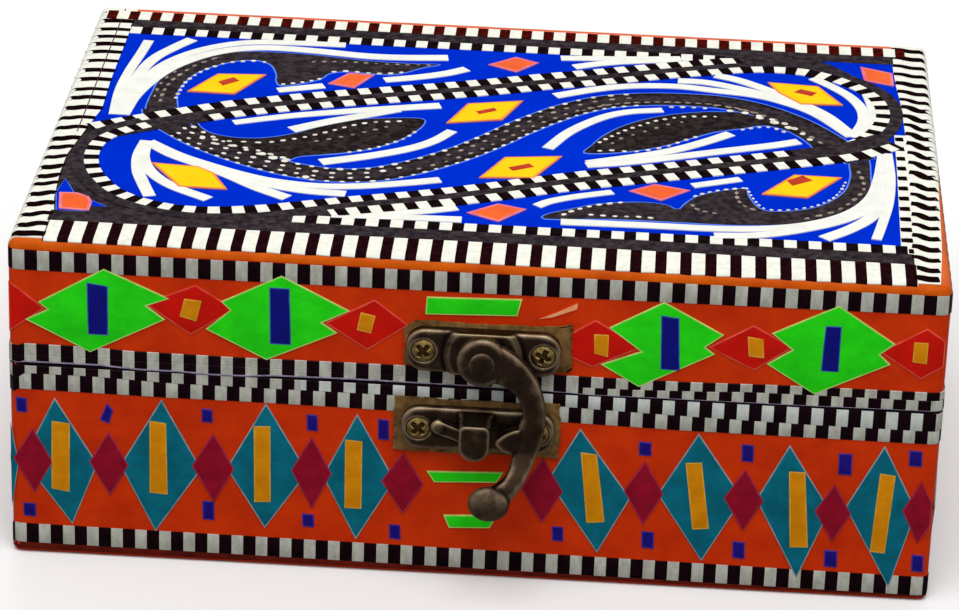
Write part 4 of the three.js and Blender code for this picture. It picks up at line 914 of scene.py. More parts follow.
leafRight = [
    (17.8, -6), (19.2, -1.4), (21.5, 4.2), (25.4, 10), (30.4, 14.6), (36.5, 18), (44.5, 20.2), (54, 20),
    (60.5, 16), (67.5, 7), (70, 2), (64.6, 1.4), (62.8, 4.9), (60.8, 8.4), (57.8, 11.8), (54, 13.4), (50, 11.4),
    (44.6, 8.9), (40.4, 5.5), (35, 0.6), (30, -2.7), (24, -5.3),
]
whiteStrips = [  # width at the start, width at the end, the points
    (2.2, 2.0, [(-76.2, 44.2), (-76.9, 36), (-77.9, 26), (-78.4, 15), (-77.8, 2)]),
    (2.8, 2.2, [(-67.2, 46.2), (-70.3, 41), (-73.4, 34.8), (-75.2, 27.5), (-76.3, 17), (-76.9, 2)]),
    (2.7, 2.4, [(-34.6, 47.3), (-45.8, 47), (-54.5, 46.1), (-61, 43), (-66.5, 38),
        (-71, 31), (-74, 22), (-75.7, 12), (-76.2, 2)]),
    (3.2, 2.4, [(-12.5, 42.8), (-22, 41.6), (-30, 41.5), (-40.2, 42.9), (-49.5, 43.5), (-56.5, 42),
        (-63.1, 37.6), (-68.8, 30.3), (-72.5, 21.5), (-74.8, 12), (-75.7, 2)]),
    (2.8, 2.7, [(-8.2, 36.9), (-12.5, 33.6), (-18.5, 30.6), (-24.8, 28.2)]),
    (2.7, 2.5, [(-37, 23.3), (-41, 21.6), (-46.2, 19.5)]),
    (3.0, 2.3, [(-12.3, 15.5), (-19.1, 13.5), (-30.6, 9.9), (-42.2, 5.8), (-53.2, 0.7)]),
    (2.4, 3.2, [(-20.5, 12.2), (-26.8, 8.3), (-34.5, 3.5), (-41.2, -1.6)]),
    (2.4, 3.1, [(-9, 2.2), (-12.4, -3.8), (-17.2, -8.6), (-24.5, -13.2), (-33.8, -17.7)]),
    (2.6, 2.5, [(-69.3, -11.2), (-69.8, -19), (-68.9, -26.6), (-67.1, -32.8), (-65, -39)]),
    (2.4, 2.7, [(-69.2, -11.8), (-68.7, -20), (-66.3, -27), (-61.6, -33.2), (-53.6, -39)]),
    (2.4, 2.9, [(-68.9, -12), (-63.5, -17.7), (-57, -22.4), (-51, -26.8), (-45, -32), (-38.6, -36.4)]),
    (2.4, 2.8, [(-68.9, -11.8), (-62, -18.4), (-55, -23), (-48.5, -27.4), (-42.2, -30.6), (-35, -32.5), (-27.5, -33)]),
    (2.5, 2.7, [(-68.7, -11.6), (-62, -17.8), (-55, -22.4), (-48.5, -26), (-42.2, -28.5),
        (-34, -29.8), (-26, -29), (-17, -26.3), (-9.7, -23.6)]),
    (2.7, 2.3, [(-5.6, -36.9), (-11, -39.2), (-19, -41.8), (-29.3, -42.9)]),
    (2.8, 2.3, [(-4.3, -42.7), (-15.2, -43), (-29.3, -43.8)]),
    (2.7, 2.4, [(11.2, 45.9), (20, 46.9), (29, 48), (36.5, 49.2)]),
    (2.7, 2.4, [(14.2, 41.1), (20, 44), (27, 46.2), (36.5, 48.2)]),
    (2.8, 2.4, [(10.9, 24.1), (19.2, 29), (26.9, 31.9), (36, 32.9), (44, 31.6),
        (51.5, 30.2), (57.5, 27.4), (64.5, 21.4), (71.6, 10)]),
    (2.8, 2.4, [(36.1, 36.2), (42.3, 35.9), (50, 32.8), (57.5, 28.6), (64.5, 22.4), (71.8, 10.2)]),
    (2.8, 2.4, [(44, 40.4), (49, 38), (55, 33.2), (61.5, 27), (67, 20.4), (72, 10.4)]),
    (2.4, 2.6, [(64.3, 41.6), (68.4, 37), (72, 31.6), (74.2, 25), (74.3, 18), (72.1, 9.6)]),
    (2.3, 2.6, [(75.1, 36.8), (76.1, 30), (76.5, 24), (75.4, 16.5), (72.4, 9.4)]),
    (2.7, 2.6, [(47.2, 8.2), (42.3, 3.3), (36.5, -1.7), (30.8, -5.3), (18.8, -11.2)]),
    (2.8, 2.7, [(61, 5.8), (55.5, 2.9), (45, -1.7), (34.6, -6.4), (26, -10), (18.6, -12.3)]),
    (2.4, 2.5, [(33.2, 19.2), (26, 17.1), (20.4, 12.8), (14.6, 4.7), (10.6, -4.6)]),
    (2.2, 2.3, [(24.2, -25.3), (17, -28.6), (12.3, -31.5), (9.8, -34.2)]),
    (2.3, 2.2, [(39.8, -20.1), (49.2, -15.5)]),
    (2.8, 2.4, [(14.7, -41.3), (30, -40.9), (45, -40.7), (55, -39.3), (63.2, -36),
        (70, -30.4), (74.5, -22.4), (76.6, -12), (77.9, 1.2)]),
    (2.6, 2.4, [(44.2, -44.1), (52, -43), (60, -39.6), (68.6, -33.8), (74, -27), (76.8, -18), (78.2, 1.5)]),
    (3.0, 2.2, [(65.2, -42.9), (70.2, -37.7), (74.4, -31.4), (77, -23), (78.4, -12), (78.6, 1.7)]),
    (2.0, 2.0, [(75.2, -42), (76.7, -33.4), (78.2, -23), (78.9, -11), (78.7, 1.6)]),
]
ribbonEnd = [
    (46, 46.5), (64.6, 46.2), (68.0, 45.6), (71.2, 43.6), (72.6, 44.6), (69.5, 48.6), (66, 52.2), (46, 52.2),
]
yellowPieces = [
    [(-64.6, 16.2), (-59.5, 26.9), (-49.4, 27.8), (-54.7, 16)],
    [(-10.5, 6), (-6.8, 17.3), (4.5, 20.4), (0.8, 9.3)],
    [(-2.2, -21.6), (2.3, -10.4), (13.7, -8.4), (8.6, -20.5)],
    [(54.8, 37.8), (65.4, 36.9), (70.4, 26.8), (61.6, 26.1), (57, 32)],
    [(53.3, -22.6), (59.8, -11.9), (69.3, -12.1), (62.4, -23.4)],
    [(-66.9, -22.4), (-57.5, -23.2), (-54, -26), (-50.5, -33.9), (-60, -33.8)],
]
rustPieces = [
    [(-58.9, 22.3), (-56, 25.2), (-54.5, 23.3), (-57.7, 20.2)],
    [(-4.9, 13), (-1.2, 15.5), (-0.6, 13.9), (-4.1, 11.5)],
    [(3.2, -15.8), (7.3, -13.2), (8.4, -14.9), (4.2, -17.5)],
    [(60.2, 32.6), (61.7, 34.6), (65.1, 33), (63.9, 30.8)],
    [(58.3, -15.2), (61.5, -12.2), (63.5, -14.6), (59.4, -17.8)],
]
orangePieces = [
    [(-3.9, 40), (1.7, 45.2), (6.7, 42.5), (2.3, 36.4)],
    [(-36.3, 24.6), (-32.5, 31.2), (-27, 30.8), (-30.6, 22.8)],
    [(27.3, -24.3), (32.4, -20.2), (39.4, -22.5), (33.8, -28.4)],
    [(-3.6, -39.2), (2.2, -34), (7.9, -36), (2.8, -42.8)],
    [(74.5, 49.6), (81.2, 46.6), (81.3, 39.2), (75.1, 41.6)],
    [(-82.5, -39.4), (-79, -39.2), (-76.4, -41), (-75.5, -43.5), (-75.5, -47.6), (-81.4, -47.3)],
]
dotRows = [  # path, offset, pitch, radius, ink, length of a dot over its width
    (scroll[9:25], -3.1, 3.3, 0.52, "dotPale", 1.2),
    (scroll[9:25], 3.2, 2.6, 0.36, "dotPale", 1.6),
    (scroll[9:17], -1.0, 3.6, 0.45, "dotDull", 1.4),
    (scroll[17:25], -1.0, 3.6, 0.52, "dotPale", 1.25),
    (scroll[10:18], 1.3, 3.3, 0.42, "dotDull", 1.3),
    (scroll[18:25], 1.3, 3.4, 0.42, "dotPale", 1.3),
    ([(52.4, 18.3), (55.6, 15.9), (58.5, 13.6), (60.9, 11.2)], 0.0, 3.7, 0.85, "dotPale", 1.1),
    ([(-46.3, -14.5), (-43.3, -16.7), (-40.6, -17.4)], 0.0, 2.9, 0.85, "dotPale", 1.1),
    ([(-36.7, -25.1), (-33.9, -27.3)], 0.0, 3.4, 0.75, "dotPale", 1.1),
    (scroll[5:12], 1.7, 2.2, 0.34, "dotDull", 2.2),
    (scroll[2:8], 2.0, 3.0, 0.5, "dotDull", 1.4),
    ([(-69.4, 10), (-69.2, 18), (-67.8, 24), (-64.8, 31), (-61, 36)], 0.0, 3.0, 0.42, "dotDull", 1.9),
    ([(-70.9, 12), (-70.4, 21), (-68.3, 27.5)], 0.0, 3.6, 0.34, "dotDull", 2.0),
    ([(-66.2, 12), (-65.2, 21.5), (-62.6, 28), (-59, 32.6),
        (-56.4, 34.2), (-54, 35), (-51.9, 35.2), (-50, 34.4)], 0.3, 2.2, 0.45, "dotPale", 1.2),
    ([(-45.8, 22.6), (-42, 24.2), (-38.6, 26.3), (-37, 28.2)], 0.3, 2.1, 0.42, "dotPale", 1.2),
    ([(-36.1, 31), (-33.2, 31.9), (-26.5, 31.4), (-22, 32.6), (-19.8, 34.4)], 0.3, 2.4, 0.46, "dotPale", 1.3),
    ([(-40.9, 36.5), (-34, 37.6), (-26, 37.4), (-15.5, 38)], 0.0, 2.2, 0.38, "dotDull", 1.3),
    ([(-45, -8.8), (-40.2, -6.3), (-36.2, -3.6), (-32.3, -0.3),
        (-28.1, 3.2), (-25, 4.7), (-20.4, 5.8), (-18, 6.8)], 0.0, 2.4, 0.44, "dotPale", 1.3),
    ([(-36.2, -7.2), (-31.6, -4.5), (-26.8, -1.1), (-22.5, 2.4), (-20.6, 4.2)], 0.0, 2.7, 0.42, "dotDull", 1.3),
    ([(-29.1, -12), (-24.7, -9.5), (-20.6, -5.9), (-17.5, -1.8), (-15.9, 2)], 0.0, 2.2, 0.42, "dotPale", 1.2),
    ([(-62.4, 2.4), (-63.6, -1.2), (-62.1, -4.3),
        (-59.2, -7.2), (-55, -9), (-45.2, -9.2)], 0.0, 2.9, 0.46, "dotPale", 1.4),
    ([(-56, -10.9), (-48.8, -12.4), (-43.6, -15.2), (-40.6, -16.8)], 0.0, 3.0, 0.52, "dotPale", 1.3),
    ([(20.6, -0.4), (22.1, 2), (25.4, 6.6), (30.2, 11.6),
        (33.8, 14.3), (38.5, 16.4), (44.8, 17.1)], 0.0, 2.15, 0.45, "dotPale", 1.1),
    ([(23.1, -0.7), (25.2, 2.8), (30.2, 7.4), (34.4, 11.4), (38, 13.6)], 0.0, 3.2, 0.4, "dotDull", 1.2),
    ([(20.4, -4.6), (23.5, -3.9), (28.1, -3.8), (33.3, -1.1), (37.7, 3.2), (41, 6.4)], 0.0, 2.5, 0.42, "dotPale", 1.3),
    ([(34.4, 21.2), (39.4, 21.6), (43, 21.4)], 0.0, 2.3, 0.42, "dotPale", 1.3),
    ([(46.3, 20.9), (49.4, 20.2), (52.7, 18.9), (55.7, 17),
        (58.8, 14.6), (60.6, 12), (62.3, 9.1), (63.6, 6.2)], 0.0, 3.15, 0.66, "dotPale", 1.15),
    ([(49.2, 10.6), (51.7, 11.9), (53.9, 12.9),
        (55.6, 12.6), (57, 11.6), (58.5, 10.3)], 0.0, 1.9, 0.4, "dotPale", 1.2),
    ([(72.6, -8), (73.6, -16), (72.3, -20.9), (69.8, -26), (66.7, -30), (62, -33.4)], 0.0, 2.9, 0.46, "dotDull", 1.7),
    ([(50.2, -19.6), (51, -23), (52.8, -28.4), (55, -30.2),
        (59, -29.6), (64, -27), (68, -21.6), (70.2, -14)], 0.15, 1.7, 0.3, "dotPale", 1.4),
    ([(48.4, -22), (48.7, -26), (50.4, -29.4), (52, -30.6)], 0.0, 2.2, 0.4, "dotDull", 1.7),
    ([(14.8, -38), (17.5, -34.9), (21.3, -32.2), (26.7, -29.9)], 0.0, 2.2, 0.46, "dotPale", 1.4),
    ([(19.8, -37), (24, -37.2), (30, -36.9), (34, -37.4)], 0.0, 2.3, 0.4, "dotPale", 1.4),
    ([(39.7, -29.5), (41.2, -32), (45.5, -33.6)], 0.0, 1.9, 0.4, "dotDull", 1.6),
    ([(40.2, -25.6), (42.2, -23.8), (45, -21.9), (50, -20)], 0.2, 1.8, 0.4, "dotPale", 1.3),
]
rungsLeft = [  # how far back of the pattern's middle each dark rung begins, at the tape's inner edge
    60.0, 55.2, 50.1, 45.7, 41.3, 36.7, 31.5, 26.0, 20.9, 15.3, 10.7, 5.1, -0.3, -5.5, -11.3, -15.9, -20.9, -26.1,
    -30.7, -34.5, -39.5, -44.5, -49.5, -54.5, -59.3,
]
rungsRight = [
    61.2, 56.5, 51.5, 46.7, 41.5, 36.7, 32.2, 28.1, 23.0, 18.2, 13.3, 8.3, 3.2, -2.0, -7.2, -13.4, -18.4, -23.2,
    -28.4, -33.4, -38.6, -44.0, -49.0, -54.0, -58.6,
]


def patchOf(outline, low, high, fill, edge=None, rim=0.05):
    # a cut piece on the top, in one colour unless its edge has another
    return cutPiece("top", outline, low, high, slotOf[fill], slotOf[edge or fill], rim)


def stripBox(lowX, highX, lowY, highY, low, high, fill):
    # a rectangle of film on the top
    return patchOf([(lowX, lowY), (highX, lowY), (highX, highY), (lowX, highY)], low, high, fill)


def rimDrop(a, b):
    # beyond the flat of the lid the tape follows the rounded edge: height of the circle there, minus its radius
    radius, shift = filmFacts["topRadius"], box["patternShift"]
    past = np.maximum(np.abs(a) - (halfX - radius), np.abs(b + shift) - (halfY - radius))
    return np.sqrt(radius**2 - np.clip(past, 0, radius - 0.02) ** 2) - radius


def barRow(lowX, highX, lowY, highY, phase, white, high, dark, ragged=0.0):
    # a straight tape along X, white and dark by turns: white where the place less the phase, counted in whole
    # periods, leaves less than the white's width; the long sides wander by the raggedness
    period, light = topFacts["period"], slotOf["topWhite"]
    whites = phase - white / 2 + period * np.arange(-40, 41)
    edges = np.sort(np.concatenate([whites, whites + white]))
    edges = edges[(edges > lowX + 0.05) & (edges < highX - 0.05)]
    stations = np.concatenate([[lowX], edges, [highX]])
    middle = (stations[:-1] + stations[1:]) / 2
    index = np.where(np.mod(middle - phase + white / 2, period) < white, light, dark)
    half = (highY - lowY) / 2 + ragged * np.sin(stations * 1.3)[:, None]
    share = np.array([-1, -0.98, -0.9, -0.8, 0.8, 0.9, 0.98, 1])
    path = [(lowX, (lowY + highY) / 2), (highX, (lowY + highY) / 2)]
    return flatRibbon(path, stations - lowX, half * share, topFacts["foot"], high, index[:, None], lift=rimDrop)


def rung(points, thick):
    # a dark strip along a few given points, thinnest at its ends
    stations = pathLength(points) * np.sin(np.linspace(0, math.pi / 2, 19))
    half = thick / 2 * (0.85 + 0.2 * np.sin(np.linspace(0.2, 2.9, 19)))[:, None]
    return flatRibbon(points, stations, np.concatenate([-half, half], 1), 0.12, 0.24, slotOf["topBlack"], rimDrop)


def sideBorder(sign):
    # one white tape over the rounded edge whose dark rungs kink as they cross it; at the front of the right side
    # a second, narrower tape lies beside it with its rungs half a step on
    thick, white, middle = topFacts["rung"], slotOf["topWhite"], sign * topFacts["tapeMiddle"]
    foot = topFacts["foot"]
    y = np.array([-61.0, -48, -42, -30, -20, -5, 5, 12, 20, 30, 40, 50, 63.2])
    if sign < 0:
        inner = np.interp(y, [-48, -42, -30, -8, -3, 0, 20], [82.2, 83.1, 83.9, 84.0, 80.6, 80.4, 81.0])
        outer = np.full(len(y), 89.05)
    else:
        inner = np.interp(y, [-60, -48, -36, 0, 14, 30, 40, 50], [81.9, 81.7, 82.3, 82.8, 82.7, 82.3, 81.7, 81.4])
        outer = np.interp(y, [-62, -45, -15, 0], [86.6, 87.6, 88.3, 88.9])
    x = sign * (inner[:, None] + (outer - inner)[:, None] * np.sin(np.linspace(0, math.pi / 2, 19)))
    line = [(middle, y[0]), (middle, y[-1])]
    parts = [flatRibbon(line, y - y[0], np.sort(middle - x, axis=1), foot, 0.2, white, rimDrop)]
    for k, at in enumerate(rungsLeft if sign < 0 else rungsRight):
        near, far = np.interp(at, y, inner), np.interp(at, y, outer)
        if sign < 0:
            drop = np.interp(at, [-60, -54, 0, 20, 35, 60], [0.3, 1.7, 1.2, 1.8, 2.4, 1.3])
            early = np.interp(at, [0, 25], [0.75, 0.15])
            shape = [(near - 0.15, -0.1), (84.2, 0.0), (86.2, -drop * early)]
            shape += [(87.6, -drop * (0.35 + 0.6 * early)), (far - 0.6, -drop)]
        else:
            drop = np.interp(at, [-60, -52, -20, 0, 25, 34, 60], [0.4, 1.5, 2.1, 2.8, 2.7, 1.5, 1.0])
            kink = [(0.0, 0), (0.25, -0.15), (0.5, -0.9), (0.7, -1), (0.93, -0.8)]
            shape = [(near + across * (far - near), fall * drop) for across, fall in kink]
        parts.append(rung([(sign * a, at + b) for a, b in shape], thick * (1 + 0.14 * math.sin(k * 1.9))))
    if sign > 0:
        edge = np.interp(y, [-60, 0], [79.6, 80.4])
        columns = edge[1:8, None] + (inner - edge)[1:8, None] * np.linspace(0, 1, 4)
        line = [(middle, y[1]), (middle, y[7])]
        parts.append(flatRibbon(line, y[1:8] - y[1], np.sort(middle - columns, axis=1), foot, 0.21, white))
        for at in np.arange(-46.7, 11.5, 5.13):
            parts.append(rung([(np.interp(at, y, edge) + 0.1, at), (82.2, at + 0.1)], thick))
    else:
        parts.append(stripBox(-83.82, -83.58, -8, 62.6, foot, 0.245, "brownLine"))
    return parts


def checkRibbon(points, plainTo, outerMark, innerMark, loopMark, low, high):
    # two rows of squares with a dark line between; round the loop only the inner row stays, beside a dark band.
    # squares: those whose arc length, less the measured square's, leaves under half a period of whole periods
    period = topFacts["period"]
    total = pathLength(points)
    outerWhite, innerWhite, loop, plain = (lengthAt(points, p) for p in (outerMark, innerMark, loopMark, plainTo))
    marks = np.concatenate([np.arange(-60, 60) * period / 2 + w + period / 4 for w in (outerWhite, innerWhite)])
    stations = np.unique(np.round(np.concatenate([[0, total], marks[(marks > 0.3) & (marks < total - 0.3)]]), 3))
    stations = np.sort(np.concatenate([stations, (stations[1:] + stations[:-1]) / 2]))
    middle = (stations[1:] + stations[:-1]) / 2
    squeeze = np.clip((stations - loop) / 12, 0, 1)[:, None]
    bulge = np.clip(1 - np.abs(stations - loop - 16) / 16, 0, 1)[:, None]
    inside = 1.45 + 0.35 * bulge
    offsets = np.concatenate([-inside, inside, 2.6 + 0 * squeeze, 3.9 - 0.6 * squeeze, 7.2 - 3.1 * squeeze], 1)
    index = np.full((len(middle), 4), slotOf["mottled"])
    for column, mark, squares in ((0, innerWhite, middle >= plain), (3, outerWhite, middle <= loop + 3)):
        isWhite = np.mod(middle - mark + period / 4, period) < period / 2
        index[squares, column] = np.where(isWhite, slotOf["topWhite"], slotOf["ribbonDark"])[squares]
    return flatRibbon(points, stations, offsets, low, high, index)


def smoothOutline(points):
    # the closed curve through the points, at steps of 1.2 mm
    return smoothPath(points, 1.2, closed=True)[1][:-1]


def buildTop():
    # the panel's layers from the lowest up, then the tapes and ribbons round it; pieces of one layer that
    # could overlap each stand a few micrometres higher than the one before
    parts = [stripBox(-81.4, 80.6, -48.0, 52.0, *topLayers["field"], "field")]
    parts.append(stripBox(80.2, 82.6, 10.0, 52.0, *topLayers["fieldRight"], "field"))
    parts.append(patchOf(darkCorner, *topLayers["darkCorner"], "mottled", rim=0.1))
    parts.append(patchOf(cornerBlue, *topLayers["cornerBlue"], "field", "fieldLine", 0.3))
    low, high = topLayers["leaf"]
    leaves = [(hookLeft, "mottled"), (hookRight, "mottled"), (leafLeft, "leafDark"), (leafRight, "leafDark")]
    for k, (outline, fill) in enumerate(leaves):
        parts.append(patchOf(smoothOutline(outline), low, high + 0.004 * k, fill, "fieldLine", 0.3))
    stations = np.linspace(0, pathLength(scroll), 150)
    share = (stations[:-1] + stations[1:]) / 2 / stations[-1]
    across = [slotOf[name] for name in ("fieldLine", "leafDark", "mottled", "leafDark", "fieldLine")]
    inks = np.tile(across, (len(share), 1))
    inks[(share > 0.8) & (share < 0.93), 0] = inks[(share > 0.04) & (share < 0.17), 4] = slotOf["leafDark"]
    parts.append(flatRibbon(scroll, stations, [-3.6, -3.3, -1.9, 1.9, 3.3, 3.6], *topLayers["scroll"], inks))
    low, high = topLayers["strip"]
    for k, (startWidth, endWidth, strip) in enumerate(whiteStrips):
        inks = (slotOf["white"], slotOf["whiteEdge"])
        parts.append(cutStrip(strip, startWidth, endWidth, low, high + 0.0015 * k, *inks))
    low, high = topLayers["dot"]
    for k, (path, offset, pitch, radius, name, long) in enumerate(dotRows):
        parts.append(dotRow(path, offset, pitch, radius, low, high + 0.0006 * k, slotOf[name], long))
    # where the squares begin, one white square of the outer and the inner row, and where the loop begins
    upperMarks = (-59.4, 1.9), (-28.4, 21.0), (-26.6, 15.8), (47.5, 43.6)
    lowerMarks = (59.4, -0.6), (26.6, -19.8), (26.7, -13.8), (-29.5, -37.0)
    parts.append(checkRibbon(upperRibbon, *upperMarks, *topLayers["upperRibbon"]))
    parts.append(checkRibbon(lowerRibbon, *lowerMarks, *topLayers["lowerRibbon"]))
    parts += [patchOf(outline, *topLayers["yellow"], "yellow", "yellowEdge", 0.5) for outline in yellowPieces]
    parts += [patchOf(outline, *topLayers["rust"], "rust", rim=0.2) for outline in rustPieces]
    parts += [patchOf(o, *topLayers["orange"], "brightOrange", "brightOrangeEdge", 0.6) for o in orangePieces]
    makePiece("top_panel_ornament", "lid", parts, topMaterials, ["top_blue_panel"])

    white, foot, dark = topFacts["white"], topFacts["foot"], slotOf["ribbonDark"]
    frontBars = [barRow(-82.4, 82.4, -61.6, -52.9, -80.9, 2.55, 0.25, slotOf["barDark"], 0.05)]
    backBars = [barRow(-87.4, 84.2, 56.4, 61.2, -78.9, 2.5, 0.26, slotOf["barRed"], 0.05)]
    frontRows = [
        stripBox(-82.8, 82.1, -52.9, -47.9, foot, 0.21, "mottled"),
        stripBox(-76.0, -36.5, -48.0, -45.2, foot, 0.23, "mottled"),
        barRow(-36.5, 81.2, -48.0, -44.4, -35.3, white, 0.27, dark),
    ]
    backRows = [
        stripBox(-81.2, 81.6, 52.0, 56.4, foot, 0.21, "mottled"),
        patchOf(ribbonEnd, foot, 0.235, "mottled", rim=0.1),
        barRow(-81.0, 46.0, 48.2, 51.9, -79.7, white, 0.27, dark),
    ]
    rest = [
        ("top_front_bars", "tape_check", frontBars, "top_front_border_tape"),
        ("top_back_bars", "tape_check", backBars, "top_back_border_tape"),
        ("top_left_rungs", "tape_check", sideBorder(-1), "top_left_border_tape"),
        ("top_right_rungs", "tape_check", sideBorder(1), "top_right_border_tape"),
        ("top_front_dark_ribbon", "ribbon_dark", frontRows, "top_front_ribbon"),
        ("top_back_dark_ribbon", "ribbon_dark", backRows, "top_back_ribbon"),
    ]
    for name, slot, parts, node in rest:
        makePiece(name, "lid", parts, topMaterials, [node])


buildTop()
print("top covering laid")


# Latch, hinges and screws

castFacts = {
    "voxel": 0.15, "relax": 12, "wearSteps": 16, "wearHeight": 0.05,
    "screwWell": (2.4, 1.2), "rivetBore": 1.5, "plateEdge": 0.6, "around": 72,
}
latch = {
    "x": 1.7, "z": 49.1, "pivotZ": 48.7, "width": 29.4, "height": 8.8, "corner": 3.6,
    "back": 0.65, "front": 2.85, "screws": 22.7,
}
arm = {
    "back": 3.95, "front": 6.75, "head": 4.9, "headEdge": 0.9, "bend": 4.1, "bendStart": 17.4, "bendLength": 9.0,
    "knob": (2.3, -27.5, 10.25), "knobHalves": (4.0, 3.6, 2.2),
}
keeper = {
    "x": 1.1, "z": 32.6, "front": 2.45, "lugX": 0.75, "lugTop": 36.3, "lugFront": 8.6, "lugWidth": 5.8,
    "lugHeight": 7.3, "lugCorner": 1.1,
}
bladeInner = [
    (0.2, -3.9), (3, -4.3), (5.6, -5.6), (7.3, -7.8), (7.9, -10.6), (7.2, -13.2),
    (6.9, -16.5), (6.3, -18.9), (5.9, -21), (4.8, -22.9), (2.6, -24.4),
]
bladeOuter = [
    (0.6, 4.6), (4.2, 3.1), (7.6, 0.6), (10.3, -2.9), (12, -7.6), (12.4, -12),
    (11.9, -15.9), (10.9, -19), (9.8, -21.8), (8.3, -24.4), (6.1, -27.4),
]
spur = [
    (8.9, -13.4), (6.8, -13.6), (5.1, -14.4), (3.7, -15.4), (2.9, -16.5), (3.7, -17.6), (5.1, -18.5), (8.6, -18.8),
]


def cappedRings(rings):
    # rings of equal length joined one to the next, the first and the last closed with a face
    rings = np.asarray(rings)
    rows, columns = rings.shape[:2]
    ring = np.arange(columns)
    quads = gridFaces(rows, columns, columnsClosed=True)
    return closedPart(rings.reshape(-1, 3), quads, 0, [ring[::-1], (rows - 1) * columns + ring], [0, 0])


def turnedPart(x, z, profile, low=-99.0, high=99.0):
    # circles of each (radius, height) round an axis out of the front face, cut off below low and above high
    angle = np.linspace(0, 2 * math.pi, castFacts["around"], endpoint=False)
    radius, height = (np.array([p[i] for p in profile])[:, None] for i in range(2))
    up = np.clip(radius * np.sin(angle), low, high)
    return cappedRings(onFace("front", x + radius * np.cos(angle), z + up, height))


def stackedPart(x, z, levels):
    # rectangles of each (width, height, corner radius, distance from the face), joined one to the next
    rings = [roundedRing(width, height, corner)[0] for width, height, corner, _ in levels]
    return cappedRings([onFace("front", x + r[:, 0], z + r[:, 1], level[3]) for r, level in zip(rings, levels)])


def platePart(x, z, front):
    # straight sides, then a quarter circle over the front edge
    width, height, corner, edge = latch["width"], latch["height"], latch["corner"], castFacts["plateEdge"]
    turn = np.linspace(0, math.pi / 2, 5)
    levels = [(0.0, latch["back"])] + [(edge * (1 - math.cos(a)), front - edge * (1 - math.sin(a))) for a in turn]
    return stackedPart(x, z, [(width - 2 * i, height - 2 * i, corner - i, h) for i, h in levels])


def bladePart():
    # sections from the inner to the outer edge: u = width/2 cos^0.5, v = thickness/2 sin^0.5, brought forward by
    # the bend times 3t^2 - 2t^3, where t goes from 0 to 1 along the bend
    inner, outer = (catmullRom(points, 8)[4:] for points in (bladeInner, bladeOuter))
    centre, across = (inner + outer) / 2, outer - inner
    width = np.linalg.norm(across, axis=1, keepdims=True)
    across = across / width
    t = np.clip((-centre[:, 1:] - arm["bendStart"]) / arm["bendLength"], 0, 1)
    middle = (arm["back"] + arm["front"]) / 2 + arm["bend"] * t * t * (3 - 2 * t)
    angle = np.linspace(0, 2 * math.pi, 28, endpoint=False)
    power = lambda v: np.sign(v) * np.abs(v) ** 0.5
    u, v = power(np.cos(angle)) * width / 2, power(np.sin(angle)) * (arm["front"] - arm["back"]) / 2
    a = latch["x"] + centre[:, :1] + across[:, :1] * u
    b = latch["pivotZ"] + centre[:, 1:] + across[:, 1:] * u
    return cappedRings(onFace("front", a, b, middle + v))


def headPart():
    # a ring round the rivet bore: its section is closed on itself
    bore, radius, low, high = castFacts["rivetBore"], arm["head"], arm["back"], arm["front"]
    turn, edge = np.linspace(0, math.pi / 2, 5), arm["headEdge"]
    outside = [(radius - edge * (1 - math.cos(a)), high - edge * (1 - math.sin(a))) for a in turn]
    below = [(r, low + high - h) for r, h in outside[::-1]]
    section = np.array([(bore, low), *below, *outside, (bore, high)])
    angle = np.linspace(0, 2 * math.pi, castFacts["around"], endpoint=False)
    r = section[:, :1]
    points = onFace("front", latch["x"] + r * np.cos(angle), latch["pivotZ"] + r * np.sin(angle), section[:, 1:])
    quads = gridFaces(len(section), len(angle), rowsClosed=True, columnsClosed=True)
    return closedPart(points.reshape(-1, 3), quads, 0)


def knobPart():
    # an ellipsoid: each point of a unit sphere times the half sizes
    (x, z, h), (halfA, halfB, halfH) = arm["knob"], arm["knobHalves"]
    lift = np.linspace(-math.pi / 2 + 0.03, math.pi / 2 - 0.03, 30)[:, None]
    angle = np.linspace(0, 2 * math.pi, 48, endpoint=False)
    a, b = halfA * np.cos(lift) * np.cos(angle), halfB * np.cos(lift) * np.sin(angle)
    return cappedRings(onFace("front", latch["x"] + x + a, latch["pivotZ"] + z + b, h + halfH * np.sin(lift)))


def roundEndedOutline(x0, z0, r0, x1, z1, r1):
    # two half circles round the ends of a line, facing away from each other
    along = math.atan2(z1 - z0, x1 - x0)
    turn = np.linspace(-math.pi / 2, math.pi / 2, 13)
    far = np.stack([x1 + r1 * np.cos(along + turn), z1 + r1 * np.sin(along + turn)], -1)
    near = np.stack([x0 - r0 * np.cos(along + turn), z0 - r0 * np.sin(along + turn)], -1)
    return np.concatenate([far, near])


def tongueOutline():
    # the lug's tab: a quarter circle at each upper corner and a half circle below
    x, top, half, corner = keeper["lugX"], keeper["lugTop"], keeper["lugWidth"] / 2, keeper["lugCorner"]
    turn = np.linspace(0, math.pi / 2, 6)
    right = np.stack([x + half - corner + corner * np.sin(turn), top - corner + corner * np.cos(turn)], -1)
    left = np.stack([x - half + corner - corner * np.cos(turn), top - corner + corner * np.sin(turn)], -1)
    below = np.linspace(0, -math.pi, 19)
    bottom = np.stack([x + half * np.cos(below), top - keeper["lugHeight"] + half + half * np.sin(below)], -1)
    return np.concatenate([left, right, bottom])


def screwWell(x, z, front):
    # what the countersunk screw takes out of the plate: a cone 1.5 mm deep with a hole below it
    wide, narrow = castFacts["screwWell"]
    return turnedPart(x, z, [(wide, front + 4), (wide, front - 0.2), (narrow, front - 1.5), (narrow, -3.0)])


def pointValues(mesh, name, size):
    # one value of every point as rows of an array
    values = np.empty(len(mesh.vertices) * size)
    mesh.vertices.foreach_get(name, values)
    return values.reshape(-1, size)


